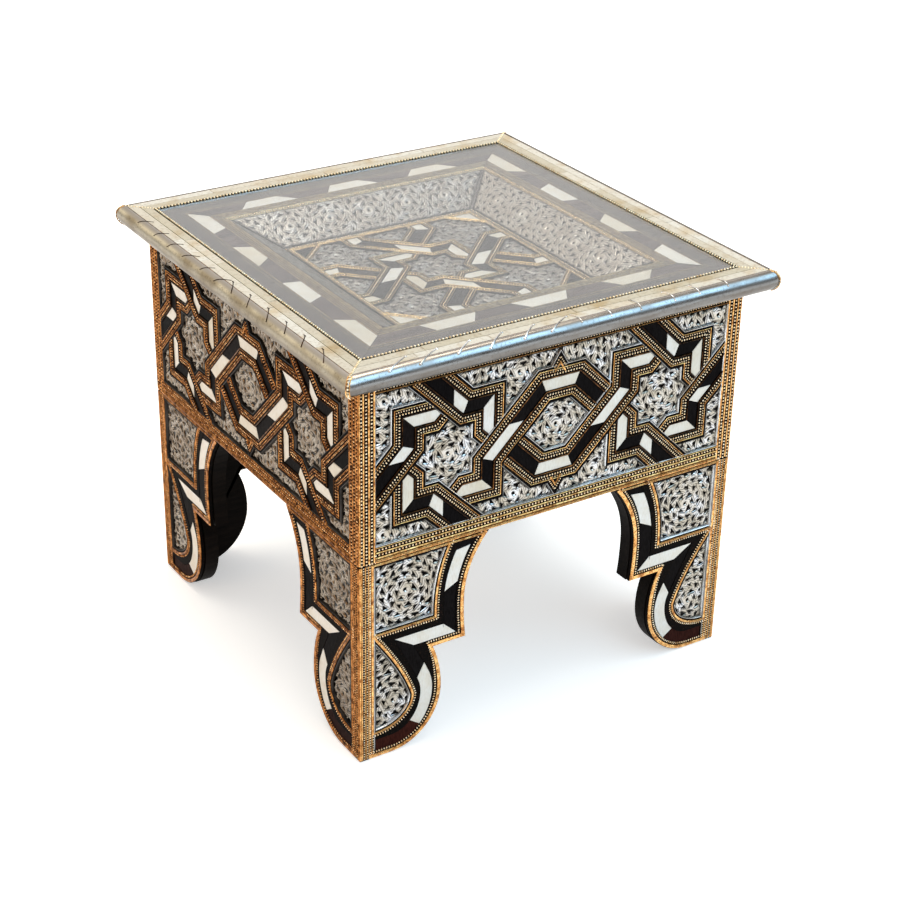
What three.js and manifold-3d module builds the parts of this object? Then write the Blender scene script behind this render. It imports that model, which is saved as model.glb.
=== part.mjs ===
// A low square side table (kursi) with a glazed display tray in its top.
// Millimetres, +Z up, origin on the floor under the middle of the table.
// The four sides are alike: each is drawn once on the front and turned about Z in quarter turns.
import * as THREE from "three";
import { mergeVertices } from "three/addons/utils/BufferGeometryUtils.js";
import Module from "manifold-3d";

const wasm = await Module();
wasm.setup();

// Overall sizes
const tableHeight = 440;
const bodyWidth = 446;
const legHeight = 225;
const fitGap = 0.3;

// Side walls: a board, a sheet of nickel silver on it, and the raised strapwork over the sheet
const strapworkThickness = 3.6;
const channelDepth = 1.1;
const sheetThickness = 0.9;
const boardThickness = 16;

// Rim round the glass
const rimOverhang = 27;
const rimThickness = 21;
const noseReach = 9.2;
const boneWidth = 22.4;
const boneThickness = 2.4;
const beadStand = 1;
const beadWidth = 2.2;
const glassRecess = 1;
const glassThickness = 4;
const glassClearance = 0.6;
const edgingThickness = 1.2;
const edgingFlange = 11;
const noseSegments = 10;

// Display tray under the glass
const friezeThickness = 12;
const friezeWidth = 51.3;
const trayWallRun = 48.7;
const trayDepth = 33.5;
const trayWallThickness = 7;
const trayFloorThickness = 8;
const trayStrapworkThickness = 2.6;

// Glue blocks in the inner corners
const blockWidth = 28;
const blockChamfer = 8;
const blockBottomHeight = 128;

// Apron strapwork: two stars and the hexagon between them, inside a border
const patternMidShare = 0.4988;
const starHalfShare = 0.2313;
const starOffsetShare = 0.56;
const strapWidth = 38;
const apronChannelWidth = 12.4;
const hexagonShortSide = 39.5;
const cornerBandWidth = 18;
const topBorderWidth = 14.7;
const bottomBorderWidth = 18;
const peakWidth = 43;
const peakHeight = 15.8;
const sheetMargin = 6;

// Tray strapwork: one star, with a short strap beside each arm and a band across each corner
const trayStarHalfShare = 0.339;
const trayStrapWidth = 29;
const trayChannelWidth = 13;
const trayEndOffsetShare = 0.348;
const trayBorderWidth = 5.5;
const trayCornerBandShare = 0.287;

// Leg outline, seen from in front, measured from the table's corner and from the floor
const legReach = 147;
const footFlatLength = 36;
const bulbReach = 94;
const bulbMidHeight = 62;
const tipReach = 122;
const tipHeight = 109.5;
const waistReach = 119.5;
const waistHeight = 150;
const archPower = 2.3;
const tipPower = 2;
const archSegments = 9;
const bulbSegments = 8;
// The bulb's upper curve is a part of an ellipse, up to this share of the ellipse's rise.
const shoulderRiseShare = 0.6;

// Leg strapwork and its two silver fields
const strapworkReveal = 0.5;
const legBandWidth = 37;
const legBandLowWidth = 33;
const legTopBorderWidth = 5;
const upperFieldRise = 38;
const lowerFieldRise = 24;
const legSheetInset = 12;
const teardropSegments = 6;
const teardropBendShares = { reach: 0.84, height: 0.42 };
// The line that the leg's bone and ebony follow: down beside the arch, level over the tip's underside,
// and slanting down into the bulb
const legChannelWidth = 14.4;
const legChannelInset = 17.3;
const legChannelLevelRise = 15.8;
const legChannelTurn = 50.5;
const legChannelBulbRise = 42;
const legChannelFootRise = 14;
const legChannelBulbAngle = Math.PI / 7;

// One overrun serves every cut and every strap that runs on under a border.
const overrun = 10;

// Places worked out from the sizes above
const bodyHalf = bodyWidth / 2;
const sheetFace = bodyHalf - strapworkThickness - fitGap;
const boardFace = sheetFace - sheetThickness - fitGap;
const boardInner = boardFace - boardThickness;
const rimHalf = bodyHalf + rimOverhang;
const boneTop = tableHeight - beadStand;
const boneBottom = boneTop - boneThickness;
const rimUnderside = boneTop - rimThickness;
const glassTop = boneTop - glassRecess;
const glassBottom = glassTop - glassThickness;
const friezeTop = glassBottom - fitGap;
const friezeBottom = friezeTop - friezeThickness;
const ledgeTop = friezeBottom - fitGap;
const noseRoot = rimHalf - noseReach;
const boneOuter = noseRoot - fitGap;
const boneInner = boneOuter - boneWidth;
const openingHalf = boneInner - fitGap - beadWidth;
const glassHalf = openingHalf - glassClearance;
const friezeOuter = openingHalf - fitGap;
const trayOpeningHalf = friezeOuter - friezeWidth;
const trayWallTop = trayOpeningHalf - fitGap;
const trayFloorHalf = trayWallTop - trayWallRun;
const trayStarHalf = trayStarHalfShare * trayFloorHalf;
const trayEndOffset = trayEndOffsetShare * trayFloorHalf;
const trayCornerBandReach = trayCornerBandShare * trayFloorHalf;
const apronBottom = legHeight + fitGap;
const apronTop = rimUnderside - fitGap;
const apronHeight = apronTop - apronBottom;
const patternMid = apronBottom + patternMidShare * apronHeight;
const starHalf = starHalfShare * apronHeight;
const starOffset = starOffsetShare * bodyHalf;
const trayWallFoot = glassTop - trayDepth - trayStrapworkThickness;
const diagonalReach = starHalf * Math.SQRT2;
const mitreGap = fitGap / Math.SQRT2;

// Materials

function finish(color, roughness, metalness, extra = {}) {
  return new THREE.MeshStandardMaterial({ color, roughness, metalness, ...extra });
}

const darkWood = finish("#2b211b", 0.6, 0);
const walnutWood = finish("#3d2c22", 0.5, 0);
const nickelSilver = finish("#a9a39b", 0.35, 1);
const polishedNickelSilver = finish("#b9bcbd", 0.22, 1);
const brassAndBone = finish("#a97c3c", 0.45, 0.8);
const camelBone = finish("#d8cbaf", 0.45, 0);
const brassWire = finish("#b48a4a", 0.4, 1);
const clearGlass = finish("#e8f0ee", 0.05, 0, { transparent: true, opacity: 0.3 });

// Solids

function toManifold(geometry) {
  const bare = geometry.clone();
  bare.deleteAttribute("normal");
  bare.deleteAttribute("uv");
  const merged = mergeVertices(bare);
  return new wasm.Manifold(new wasm.Mesh({
    numProp: 3,
    vertProperties: new Float32Array(merged.attributes.position.array),
    triVerts: new Uint32Array(merged.index.array),
  }));
}

function toGeometry(manifold) {
  const mesh = manifold.getMesh();
  const geometry = new THREE.BufferGeometry();
  geometry.setAttribute("position", new THREE.BufferAttribute(mesh.vertProperties, 3));
  geometry.setIndex(new THREE.BufferAttribute(mesh.triVerts, 1));
  return geometry;
}

// A shape drawn anticlockwise, whichever way round its points are given
function shapeOf(points) {
  const outline = points.map(([u, v]) => new THREE.Vector2(u, v));
  return new THREE.Shape(THREE.ShapeUtils.isClockWise(outline) ? outline.reverse() : outline);
}

function extrude(shape, thickness) {
  return new THREE.ExtrudeGeometry(shape, { depth: thickness, bevelEnabled: false, curveSegments: 1 });
}

function rectangle(left, bottom, right, top) {
  return [[left, bottom], [right, bottom], [right, top], [left, top]];
}

// A plate drawn on a face in u (to the right) and v (up), set on the front side of the table at
// faceDistance from the middle. Ends that reach the corner, where |u| is faceDistance, are mitred.
function facePlate(flat, faceDistance, thickness) {
  const geometry = flat.clone();
  const position = geometry.attributes.position;
  const cornerTolerance = fitGap / 2;
  for (let i = 0; i < position.count; i += 1) {
    const u = position.getX(i);
    const depth = thickness - position.getZ(i);
    const atCorner = faceDistance - Math.abs(u) < cornerTolerance;
    const x = atCorner ? Math.sign(u) * (faceDistance - depth - mitreGap) : u;
    position.setXYZ(i, x, depth - faceDistance, position.getY(i));
  }
  return geometry;
}

// A rail along the front side. Its section is given as [distance from the middle, height], and both
// ends are mitred to meet the rails of the next sides.
function mitredRail(section) {
  const outline = section.map(([distance, height]) => new THREE.Vector2(distance, height));
  if (THREE.ShapeUtils.isClockWise(outline)) {
    outline.reverse();
  }
  const count = outline.length;
  const positions = [];
  for (const end of [-1, 1]) {
    for (const { x: distance, y: height } of outline) {
      positions.push(end * (distance - mitreGap), -distance, height);
    }
  }
  const triangles = [];
  for (const [a, b, c] of THREE.ShapeUtils.triangulateShape(outline, [])) {
    triangles.push(a, b, c);
    triangles.push(a + count, c + count, b + count);
  }
  for (let i = 0; i < count; i += 1) {
    const next = (i + 1) % count;
    triangles.push(i, next + count, next);
    triangles.push(i, i + count, next + count);
  }
  const geometry = new THREE.BufferGeometry();
  geometry.setAttribute("position", new THREE.Float32BufferAttribute(positions, 3));
  geometry.setIndex(triangles);
  return geometry;
}

// The stretch of an ellipse between two angles, as points
function ellipseArc(centre, reach, rise, fromAngle, toAngle, segments) {
  const points = [];
  for (let i = 0; i <= segments; i += 1) {
    const angle = fromAngle + (toAngle - fromAngle) * i / segments;
    points.push([centre[0] + reach * Math.cos(angle), centre[1] + rise * Math.sin(angle)]);
  }
  return points;
}

// Strapwork: a strap is a line of points with a width, mitred where it turns. A cut is a line given
// by its normal and its distance from the origin, along that normal, and ends a strap square to it.

function alongTo(point, direction, cut) {
  const [normalU, normalV] = cut.normal;
  const short = cut.distance - (point.x * normalU + point.y * normalV);
  const rate = direction.x * normalU + direction.y * normalV;
  return point.clone().addScaledVector(direction, short / rate);
}

function offsetLine(line, offset, cuts = {}) {
  const points = line.map(([u, v]) => new THREE.Vector2(u, v));
  const last = points.length - 1;
  const directions = points.slice(1).map((point, i) => point.clone().sub(points[i]).normalize());
  return points.map((point, i) => {
    const into = directions[Math.max(i - 1, 0)];
    const out = directions[Math.min(i, last - 1)];
    const along = into.clone().add(out).normalize();
    const across = new THREE.Vector2(-along.y, along.x).multiplyScalar(offset / along.dot(into));
    const moved = point.clone().add(across);
    const cut = (i === 0 && cuts.start) || (i === last && cuts.end);
    return cut ? alongTo(moved, into, cut) : moved;
  });
}

function strapShape(line, width, cuts = {}) {
  const left = offsetLine(line, width / 2, cuts);
  const right = offsetLine(line, -width / 2, cuts);
  return shapeOf([...left, ...right.reverse()].map((point) => [point.x, point.y]));
}

function quarterTurned([u, v], turns) {
  return turns === 0 ? [u, v] : quarterTurned([-v, u], turns - 1);
}

// One strap of a star comes in along a diagonal, turns along one side of the star's square and then
// down the next side, where it ends under the following strap's diagonal.
function starStrap(half, width, start, place, turns) {
  const bend = half * (Math.SQRT2 - 1);
  const turned = [[bend, half], [half, half], [half, -bend]].map((point) => quarterTurned(point, turns));
  const line = turned.map(([u, v]) => [u + place, v]);
  const normal = quarterTurned([Math.SQRT1_2, -Math.SQRT1_2], turns);
  const end = { normal, distance: half - width / 2 + normal[0] * place };
  return { line: [...start, ...line], cuts: { end } };
}

function apronStraps() {
  const far = bodyHalf + overrun;
  const bend = starHalf * (Math.SQRT2 - 1);
  const straps = [];
  // One strap of each star runs on to the hexagon, where it is level between two turns and then falls
  // to end under the other star's diagonal.
  const hexagonTurn = starOffset - diagonalReach - starHalf;
  const levelEnd = hexagonShortSide - hexagonTurn;
  const fall = (levelEnd + starHalf + diagonalReach - starOffset) / 2;
  const hexagonLine = [[levelEnd + starHalf - fall, fall], [levelEnd, starHalf], [-hexagonTurn, starHalf]];
  for (const side of [-1, 1]) {
    for (let turns = 0; turns < 4; turns += 1) {
      const place = side * starOffset;
      if (turns === (side < 0 ? 3 : 1)) {
        const start = hexagonLine.map(([u, v]) => [-side * u, -side * v]);
        const strap = starStrap(starHalf, strapWidth, start, place, turns);
        const normal = [-side * Math.SQRT1_2, side * Math.SQRT1_2];
        const distance = (starOffset - diagonalReach) * Math.SQRT1_2 - strapWidth / 2;
        strap.cuts.start = { normal, distance };
        straps.push(strap);
      } else {
        const [u, v] = quarterTurned([bend - far, starHalf + far], turns);
        straps.push(starStrap(starHalf, strapWidth, [[u + place, v]], place, turns));
      }
    }
  }
  return straps;
}

// Joins straps, their frame and any extra pieces into one plate, trims it to the frame's outside and
// cuts each star's points: with the straps' square they make the eight points of its silver field.
// The channels for the bone and ebony stay inside the frame.
function joinedPlate({ straps, width, channelWidth, frame, thickness, extras, half, starPlaces }) {
  const solidOf = (shape) => toManifold(extrude(shape, thickness));
  const through = (shape) => toManifold(extrude(shape, thickness + 2 * overrun).translate(0, 0, -overrun));
  const outer = solidOf(shapeOf(frame.outer));
  const inside = through(shapeOf(frame.inner));
  const shapes = [...straps.map(({ line }) => strapShape(line, width)), ...extras.map(shapeOf)];
  const pieces = shapes.map(solidOf);
  const joined = pieces.reduce((whole, piece) => whole.add(piece), outer.subtract(inside));
  const pointReach = (half - width / 2) * Math.SQRT2;
  const points = [[pointReach, 0], [0, pointReach], [-pointReach, 0], [0, -pointReach]];
  const starCuts = starPlaces.map((place) => through(shapeOf(points.map(([u, v]) => [u + place, v]))));
  const channels = straps.map(({ line, cuts }) => {
    const channel = extrude(strapShape(line, channelWidth, cuts), channelDepth + overrun);
    return toManifold(channel.translate(0, 0, thickness - channelDepth)).intersect(inside);
  });
  return [...starCuts, ...channels].reduce((whole, cut) => whole.subtract(cut), joined.intersect(outer));
}

function apronStrapwork() {
  const bottom = apronBottom - patternMid;
  const top = apronTop - patternMid;
  const frame = {
    outer: rectangle(-bodyHalf, bottom, bodyHalf, top),
    inner: rectangle(cornerBandWidth - bodyHalf, bottom + bottomBorderWidth,
      bodyHalf - cornerBandWidth, top - topBorderWidth),
  };
  const peaks = [-1, 1].map((side) => [
    [-side * peakWidth / 2, side * starHalf],
    [side * peakWidth / 2, side * starHalf],
    [0, side * (starHalf + strapWidth / 2 + peakHeight)],
  ]);
  const plate = joinedPlate({
    straps: apronStraps(), width: strapWidth, channelWidth: apronChannelWidth,
    frame, thickness: strapworkThickness,
    extras: peaks, half: starHalf, starPlaces: [-starOffset, starOffset],
  });
  return facePlate(toGeometry(plate.translate(0, patternMid, 0)), bodyHalf, strapworkThickness);
}

// The tray's star has an arm out to each side, and a short strap that comes in beside each arm and
// ends under it.
function trayStraps() {
  const edge = trayFloorHalf + overrun;
  const diagonal = trayStarHalf * Math.SQRT2;
  const armTurn = diagonal + trayEndOffset;
  const normal = [Math.SQRT1_2, Math.SQRT1_2];
  const distance = trayStarHalf + trayStrapWidth / 2;
  const straps = [];
  for (let turns = 0; turns < 4; turns += 1) {
    const turned = (point) => quarterTurned(point, turns);
    const arm = [[-trayEndOffset, edge], [-trayEndOffset, armTurn]].map(turned);
    straps.push(starStrap(trayStarHalf, trayStrapWidth, arm, 0, turns));
    straps.push({
      line: [[0, diagonal], [trayEndOffset, armTurn], [trayEndOffset, edge]].map(turned),
      cuts: { start: { normal: turned(normal), distance } },
    });
  }
  return straps;
}

function trayStrapwork() {
  const edge = trayFloorHalf - fitGap;
  const field = edge - trayBorderWidth;
  const frame = {
    outer: rectangle(-edge, -edge, edge, edge),
    inner: rectangle(-field, -field, field, field),
  };
  const corners = [];
  for (let turns = 0; turns < 4; turns += 1) {
    const corner = [[edge, edge], [edge - trayBorderWidth - trayCornerBandReach, edge],
      [edge, edge - trayBorderWidth - trayCornerBandReach]];
    corners.push(corner.map((point) => quarterTurned(point, turns)));
  }
  const plate = joinedPlate({
    straps: trayStraps(), width: trayStrapWidth, channelWidth: trayChannelWidth,
    frame, thickness: trayStrapworkThickness,
    extras: corners, half: trayStarHalf, starPlaces: [0],
  });
  return toGeometry(plate.translate(0, 0, trayWallFoot));
}

// Leg outline, from the corner (u is 0) outwards

function archReach(height) {
  if (height > waistHeight) {
    const share = (height - waistHeight) / (legHeight - waistHeight);
    return waistReach + (legReach - waistReach) * share ** archPower;
  }
  const share = (waistHeight - height) / (waistHeight - tipHeight);
  return waistReach + (tipReach - waistReach) * share ** tipPower;
}

// The arch's edge moved towards the corner by a distance measured square to the edge
function archInset(height, inset) {
  const step = fitGap;
  const slope = (archReach(height + step) - archReach(height - step)) / (2 * step);
  return archReach(height) - inset * Math.hypot(1, slope);
}

function legOutline(inset) {
  const lowerRise = bulbMidHeight - inset;
  const bulbWidth = bulbReach - footFlatLength - inset;
  const upperRise = (tipHeight + inset - bulbMidHeight) / shoulderRiseShare;
  const bulbMid = [footFlatLength, bulbMidHeight];
  const foot = ellipseArc(bulbMid, bulbWidth, lowerRise, -Math.PI / 2, 0, bulbSegments);
  const shoulderEnd = Math.asin(shoulderRiseShare);
  const shoulder = ellipseArc(bulbMid, bulbWidth, upperRise, 0, shoulderEnd, bulbSegments / 2);
  const arch = [];
  for (let i = 0; i <= archSegments; i += 1) {
    const height = tipHeight + inset + (legHeight - tipHeight - inset) * i / archSegments;
    arch.push([archInset(height, inset), height]);
  }
  return [[0, inset], ...foot, ...shoulder.slice(1), ...arch, [0, legHeight]];
}

function upperField() {
  const bottom = tipHeight + upperFieldRise;
  const top = legHeight - legTopBorderWidth;
  const points = [[cornerBandWidth, top], [cornerBandWidth, bottom]];
  for (let i = 0; i <= archSegments; i += 1) {
    const height = bottom + (top - bottom) * i / archSegments;
    points.push([archInset(height, legBandWidth), height]);
  }
  return points;
}

// Half a teardrop: round below, where it follows the bulb, and drawn out to a point above
function lowerField() {
  const reach = bulbReach - legBandWidth;
  const bulbMid = [cornerBandWidth, bulbMidHeight];
  const rise = bulbMidHeight - legBandLowWidth;
  const round = ellipseArc(bulbMid, reach - cornerBandWidth, rise, -Math.PI / 2, 0, teardropSegments);
  const apexHeight = tipHeight + lowerFieldRise;
  const bend = new THREE.Vector2(
    reach * teardropBendShares.reach,
    bulbMidHeight + (apexHeight - bulbMidHeight) * teardropBendShares.height,
  );
  const side = new THREE.QuadraticBezierCurve(
    new THREE.Vector2(reach, bulbMidHeight), bend, new THREE.Vector2(cornerBandWidth, apexHeight));
  const drawnOut = side.getPoints(teardropSegments).slice(1).map((point) => [point.x, point.y]);
  return [...round, ...drawnOut];
}

function legChannelLine() {
  const level = tipHeight + legChannelLevelRise;
  const line = [];
  for (let i = 0; i <= archSegments; i += 1) {
    const height = legHeight + overrun + (level - legHeight - overrun) * i / archSegments;
    line.push([archInset(height, legChannelInset), height]);
  }
  const centre = [footFlatLength, bulbMidHeight];
  const reach = bulbReach - legChannelInset - footFlatLength;
  const footRise = bulbMidHeight - legChannelFootRise;
  const upper = ellipseArc(centre, reach, legChannelBulbRise, legChannelBulbAngle, 0, bulbSegments / 4);
  const lower = ellipseArc(centre, reach, footRise, 0, -Math.PI / 2, bulbSegments);
  const end = [cornerBandWidth, legChannelFootRise];
  return [...line, [legChannelTurn, level], ...upper, ...lower.slice(1), end];
}

// Moves points measured from a corner to the front face: end is -1 at its left and 1 at its right.
function fromCorner(points, faceDistance, end) {
  return points.map(([u, v]) => [end * (u === 0 ? faceDistance : bodyHalf - u), v]);
}

function legBoard(end) {
  const shape = shapeOf(fromCorner(legOutline(0), boardFace, end));
  return facePlate(extrude(shape, boardThickness), boardFace, boardThickness);
}

// The channel stops below the top border, at the seam.
function legStrapwork(end) {
  const shape = shapeOf(fromCorner(legOutline(strapworkReveal), bodyHalf, end));
  shape.holes = [upperField(), lowerField()].map((field) => shapeOf(fromCorner(field, bodyHalf, end)));
  const plate = toManifold(extrude(shape, strapworkThickness));
  const line = fromCorner(legChannelLine(), bodyHalf, end);
  const channel = extrude(strapShape(line, legChannelWidth), channelDepth + overrun);
  const below = rectangle(-bodyHalf, 0, bodyHalf, legHeight - legTopBorderWidth);
  const room = toManifold(extrude(shapeOf(below), strapworkThickness + overrun));
  const recess = toManifold(channel.translate(0, 0, strapworkThickness - channelDepth)).intersect(room);
  return facePlate(toGeometry(plate.subtract(recess)), bodyHalf, strapworkThickness);
}

// The silver of a leg is one sheet folded round the corner, under the strapwork of both its faces.
function legSheet() {
  const outline = legOutline(legSheetInset).map(([u, v]) => [u, Math.min(v, legHeight - fitGap)]);
  const flat = toManifold(extrude(shapeOf(fromCorner(outline, sheetFace, -1)), sheetThickness));
  const quarter = 90;
  const onFront = flat.rotate([quarter, 0, 0]).translate([0, sheetThickness - sheetFace, 0]);
  const folded = onFront.mirror([1, -1, 0]);
  return toGeometry(onFront.add(folded));
}

// Rim sections, as [distance from the middle, height]

function noseMid() {
  return (boneTop + rimUnderside) / 2;
}

function rimCoreSection() {
  const centre = [noseRoot, noseMid()];
  const reach = noseReach - edgingThickness - fitGap;
  const flangeTop = rimUnderside + edgingThickness + fitGap;
  const coreTop = boneBottom - fitGap;
  const lower = ellipseArc(centre, reach, centre[1] - flangeTop, -Math.PI / 2, 0, noseSegments / 2);
  const upper = ellipseArc(centre, reach, coreTop - centre[1], 0, Math.PI / 2, noseSegments / 2);
  return [
    [boardInner, rimUnderside],
    [noseRoot - edgingFlange - fitGap, rimUnderside],
    [noseRoot - edgingFlange - fitGap, flangeTop],
    ...lower,
    ...upper.slice(1),
    [openingHalf, coreTop],
    [openingHalf, ledgeTop],
    [boardInner, ledgeTop],
  ];
}

function rimEdgingSection() {
  const centre = [noseRoot, noseMid()];
  const rise = rimThickness / 2;
  const outside = ellipseArc(centre, noseReach, rise, Math.PI / 2, -Math.PI / 2, noseSegments);
  const inside = ellipseArc(centre, noseReach - edgingThickness, rise - edgingThickness,
    -Math.PI / 2, Math.PI / 2, noseSegments);
  const flangeEnd = noseRoot - edgingFlange;
  return [
    ...outside,
    [flangeEnd, rimUnderside],
    [flangeEnd, rimUnderside + edgingThickness],
    ...inside,
  ];
}

function rimBoneSection() {
  return rectangle(boneInner, boneBottom, boneOuter, boneTop);
}

function friezeSection() {
  return rectangle(trayOpeningHalf, friezeBottom, friezeOuter, friezeTop);
}

// The tray's wall leans: its top end stands against the frieze, its foot on the tray's floor.
function trayWallSection() {
  const slope = Math.atan2(friezeTop - trayWallFoot, trayWallRun);
  return [
    [trayFloorHalf, trayWallFoot],
    [trayFloorHalf + trayWallThickness / Math.sin(slope), trayWallFoot],
    [trayWallTop, friezeTop - trayWallThickness / Math.cos(slope)],
    [trayWallTop, friezeTop],
  ];
}

function squareSlab(half, bottom, top) {
  return new THREE.BoxGeometry(2 * half, 2 * half, top - bottom).translate(0, 0, (bottom + top) / 2);
}

function glassBead() {
  const inner = openingHalf;
  const outer = inner + beadWidth;
  const shape = shapeOf(rectangle(-outer, -outer, outer, outer));
  shape.holes = [shapeOf(rectangle(-inner, -inner, inner, inner))];
  const bottom = boneBottom;
  return extrude(shape, tableHeight - bottom).translate(0, 0, bottom);
}

// A square post in the corner with its free edge taken off
function cornerBlock() {
  const outer = boardInner - fitGap;
  const inner = outer - blockWidth;
  const shape = shapeOf([
    [-outer, -outer], [-inner, -outer], [-inner, -inner - blockChamfer],
    [-inner - blockChamfer, -inner], [-outer, -inner],
  ]);
  return extrude(shape, apronTop - blockBottomHeight).translate(0, 0, blockBottomHeight);
}

// Assembly

const table = new THREE.Group();

function addPiece(parent, name, geometry, material) {
  const mesh = new THREE.Mesh(geometry, material);
  mesh.name = name;
  parent.add(mesh);
}

const sides = ["front", "right", "back", "left"];
const corners = ["front_left", "front_right", "back_right", "back_left"];
const sidePieces = [
  ["apron_board", mitredRail(rectangle(boardInner, apronBottom, boardFace, apronTop)), darkWood],
  ["apron_silver_sheet", mitredRail(rectangle(sheetFace - sheetThickness, apronBottom + sheetMargin,
    sheetFace, apronTop - sheetMargin)), nickelSilver],
  ["apron_strapwork", apronStrapwork(), brassAndBone],
  ["rim_core", mitredRail(rimCoreSection()), darkWood],
  ["rim_edging", mitredRail(rimEdgingSection()), polishedNickelSilver],
  ["rim_bone", mitredRail(rimBoneSection()), camelBone],
  ["frieze_rail", mitredRail(friezeSection()), walnutWood],
  ["tray_wall", mitredRail(trayWallSection()), nickelSilver],
];
const legEnds = [["left", -1], ["right", 1]];

sides.forEach((side, turns) => {
  const group = new THREE.Group();
  group.rotation.z = turns * Math.PI / 2;
  for (const [name, geometry, material] of sidePieces) {
    addPiece(group, `${name}_${side}`, geometry, material);
  }
  for (const [, end] of legEnds) {
    const corner = corners[end < 0 ? turns : (turns + 1) % corners.length];
    addPiece(group, `leg_board_${corner}_${side}_face`, legBoard(end), darkWood);
    addPiece(group, `leg_strapwork_${corner}_${side}_face`, legStrapwork(end), brassAndBone);
  }
  addPiece(group, `leg_silver_sheet_${corners[turns]}`, legSheet(), nickelSilver);
  addPiece(group, `corner_block_${corners[turns]}`, cornerBlock(), darkWood);
  table.add(group);
});

const [, [wallOuterFoot]] = trayWallSection();
const trayFloorTop = trayWallFoot - fitGap;
const trayFloor = squareSlab(wallOuterFoot, trayFloorTop - trayFloorThickness, trayFloorTop);
addPiece(table, "tray_floor", trayFloor, darkWood);
addPiece(table, "tray_strapwork", trayStrapwork(), brassAndBone);
addPiece(table, "glass_bead_wire", glassBead(), brassWire);
addPiece(table, "glass_pane", squareSlab(glassHalf, glassBottom, glassTop), clearGlass);

export default table;
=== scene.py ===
# A low square side table (kursi): bone and ebony strapwork edged with beaded brass over embossed
# nickel silver, with a glazed display tray in its top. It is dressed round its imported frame.
# Sizes are in millimetres, and a finished piece's mesh is in metres.
import math

import bpy
import numpy as np
from mathutils import Matrix, Vector
from mathutils.geometry import tessellate_polygon


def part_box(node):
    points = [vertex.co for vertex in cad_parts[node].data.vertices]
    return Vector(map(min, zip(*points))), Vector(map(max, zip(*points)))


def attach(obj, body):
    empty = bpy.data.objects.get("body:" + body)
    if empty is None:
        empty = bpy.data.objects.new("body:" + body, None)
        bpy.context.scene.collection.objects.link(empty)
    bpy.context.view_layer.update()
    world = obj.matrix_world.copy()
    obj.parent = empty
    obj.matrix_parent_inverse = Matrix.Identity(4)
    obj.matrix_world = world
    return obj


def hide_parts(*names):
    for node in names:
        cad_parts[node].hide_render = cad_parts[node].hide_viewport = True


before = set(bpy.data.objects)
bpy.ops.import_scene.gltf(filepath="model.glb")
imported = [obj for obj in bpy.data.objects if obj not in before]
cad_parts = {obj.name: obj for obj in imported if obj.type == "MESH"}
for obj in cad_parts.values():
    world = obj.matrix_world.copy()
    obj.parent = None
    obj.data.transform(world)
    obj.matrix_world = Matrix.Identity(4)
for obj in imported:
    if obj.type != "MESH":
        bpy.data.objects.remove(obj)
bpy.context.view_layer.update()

MM = 0.001
SIDES = ["front", "right", "back", "left"]
CORNERS = ["front_left", "front_right", "back_right", "back_left"]
ROOT2 = math.sqrt(2)
ROOT_HALF = math.sqrt(0.5)


def front_reach(node, end):
    """How far a front node's inner (1) or outer (0) face stands from the middle of the table."""
    return -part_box(node)[end].y / MM


def level(node, end):
    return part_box(node)[end].z / MM


# Places taken from the frame
BODY_HALF = front_reach("apron_strapwork_front", 0)
SHEET_FACE = front_reach("apron_silver_sheet_front", 0)
BOARD_FACE = front_reach("apron_board_front", 0)
BOARD_INNER = front_reach("apron_board_front", 1)
APRON_BOTTOM = level("apron_strapwork_front", 0)
APRON_TOP = level("apron_strapwork_front", 1)
RIM_HALF = front_reach("rim_edging_front", 0)
BONE_OUTER = front_reach("rim_bone_front", 0)
BONE_INNER = front_reach("rim_bone_front", 1)
BONE_TOP = level("rim_bone_front", 1)
BONE_BOTTOM = level("rim_bone_front", 0)
RIM_UNDERSIDE = level("rim_edging_front", 0)
TABLE_HEIGHT = level("glass_bead_wire", 1)
FRIEZE_TOP = level("frieze_rail_front", 1)
FRIEZE_OUTER = front_reach("frieze_rail_front", 0)
TRAY_WALL_TOP = front_reach("tray_wall_front", 0)
TRAY_FLOOR_HALF = front_reach("tray_wall_front", 1)
TRAY_FOOT = level("tray_strapwork", 0)
TRAY_STRAPWORK_TOP = level("tray_strapwork", 1)
TRAY_STRAPWORK_HALF = front_reach("tray_strapwork", 0)
APRON_HEIGHT = APRON_TOP - APRON_BOTTOM
FIT_GAP = 0.3
CHANNEL_DEPTH = 1.1
STRAPWORK_THICKNESS = BODY_HALF - SHEET_FACE - FIT_GAP
BOARD_THICKNESS = BOARD_FACE - BOARD_INNER

# Apron strapwork: two stars and the hexagon between them, inside a border, as shares of the apron's height
# and, for the stars' offset, of the body's half width
PATTERN_MID_SHARE, STAR_SHARE, STAR_OFFSET_SHARE = 0.4988, 0.2313, 0.56
PATTERN_MID = APRON_BOTTOM + PATTERN_MID_SHARE * APRON_HEIGHT
STAR_HALF = STAR_SHARE * APRON_HEIGHT
STAR_OFFSET = STAR_OFFSET_SHARE * BODY_HALF
STRAP_WIDTH = 38
CHANNEL_WIDTH = 12.4
HEXAGON_SHORT_SIDE = 39.5
CORNER_BAND = 18
TOP_BORDER = 14.7
BOTTOM_BORDER = 18
PEAK_WIDTH = 43
PEAK_HEIGHT = 15.8
# Where the bone on a diagonal starts, measured along the next run
APRON_BONE_START = 5
HEXAGON_BONE_START = -13.4

# Tray strapwork, with shares of the floor's half width for the star, the arms' offset and the corners
TRAY_SHARES = (0.339, 0.348, 0.287)
TRAY_STAR_HALF, TRAY_END_OFFSET, TRAY_CORNER_REACH = [share * TRAY_FLOOR_HALF for share in TRAY_SHARES]
TRAY_STRAP_WIDTH = 29
TRAY_CHANNEL_WIDTH = 13
TRAY_BORDER = 5.5
TRAY_BONE_START = -9

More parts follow.
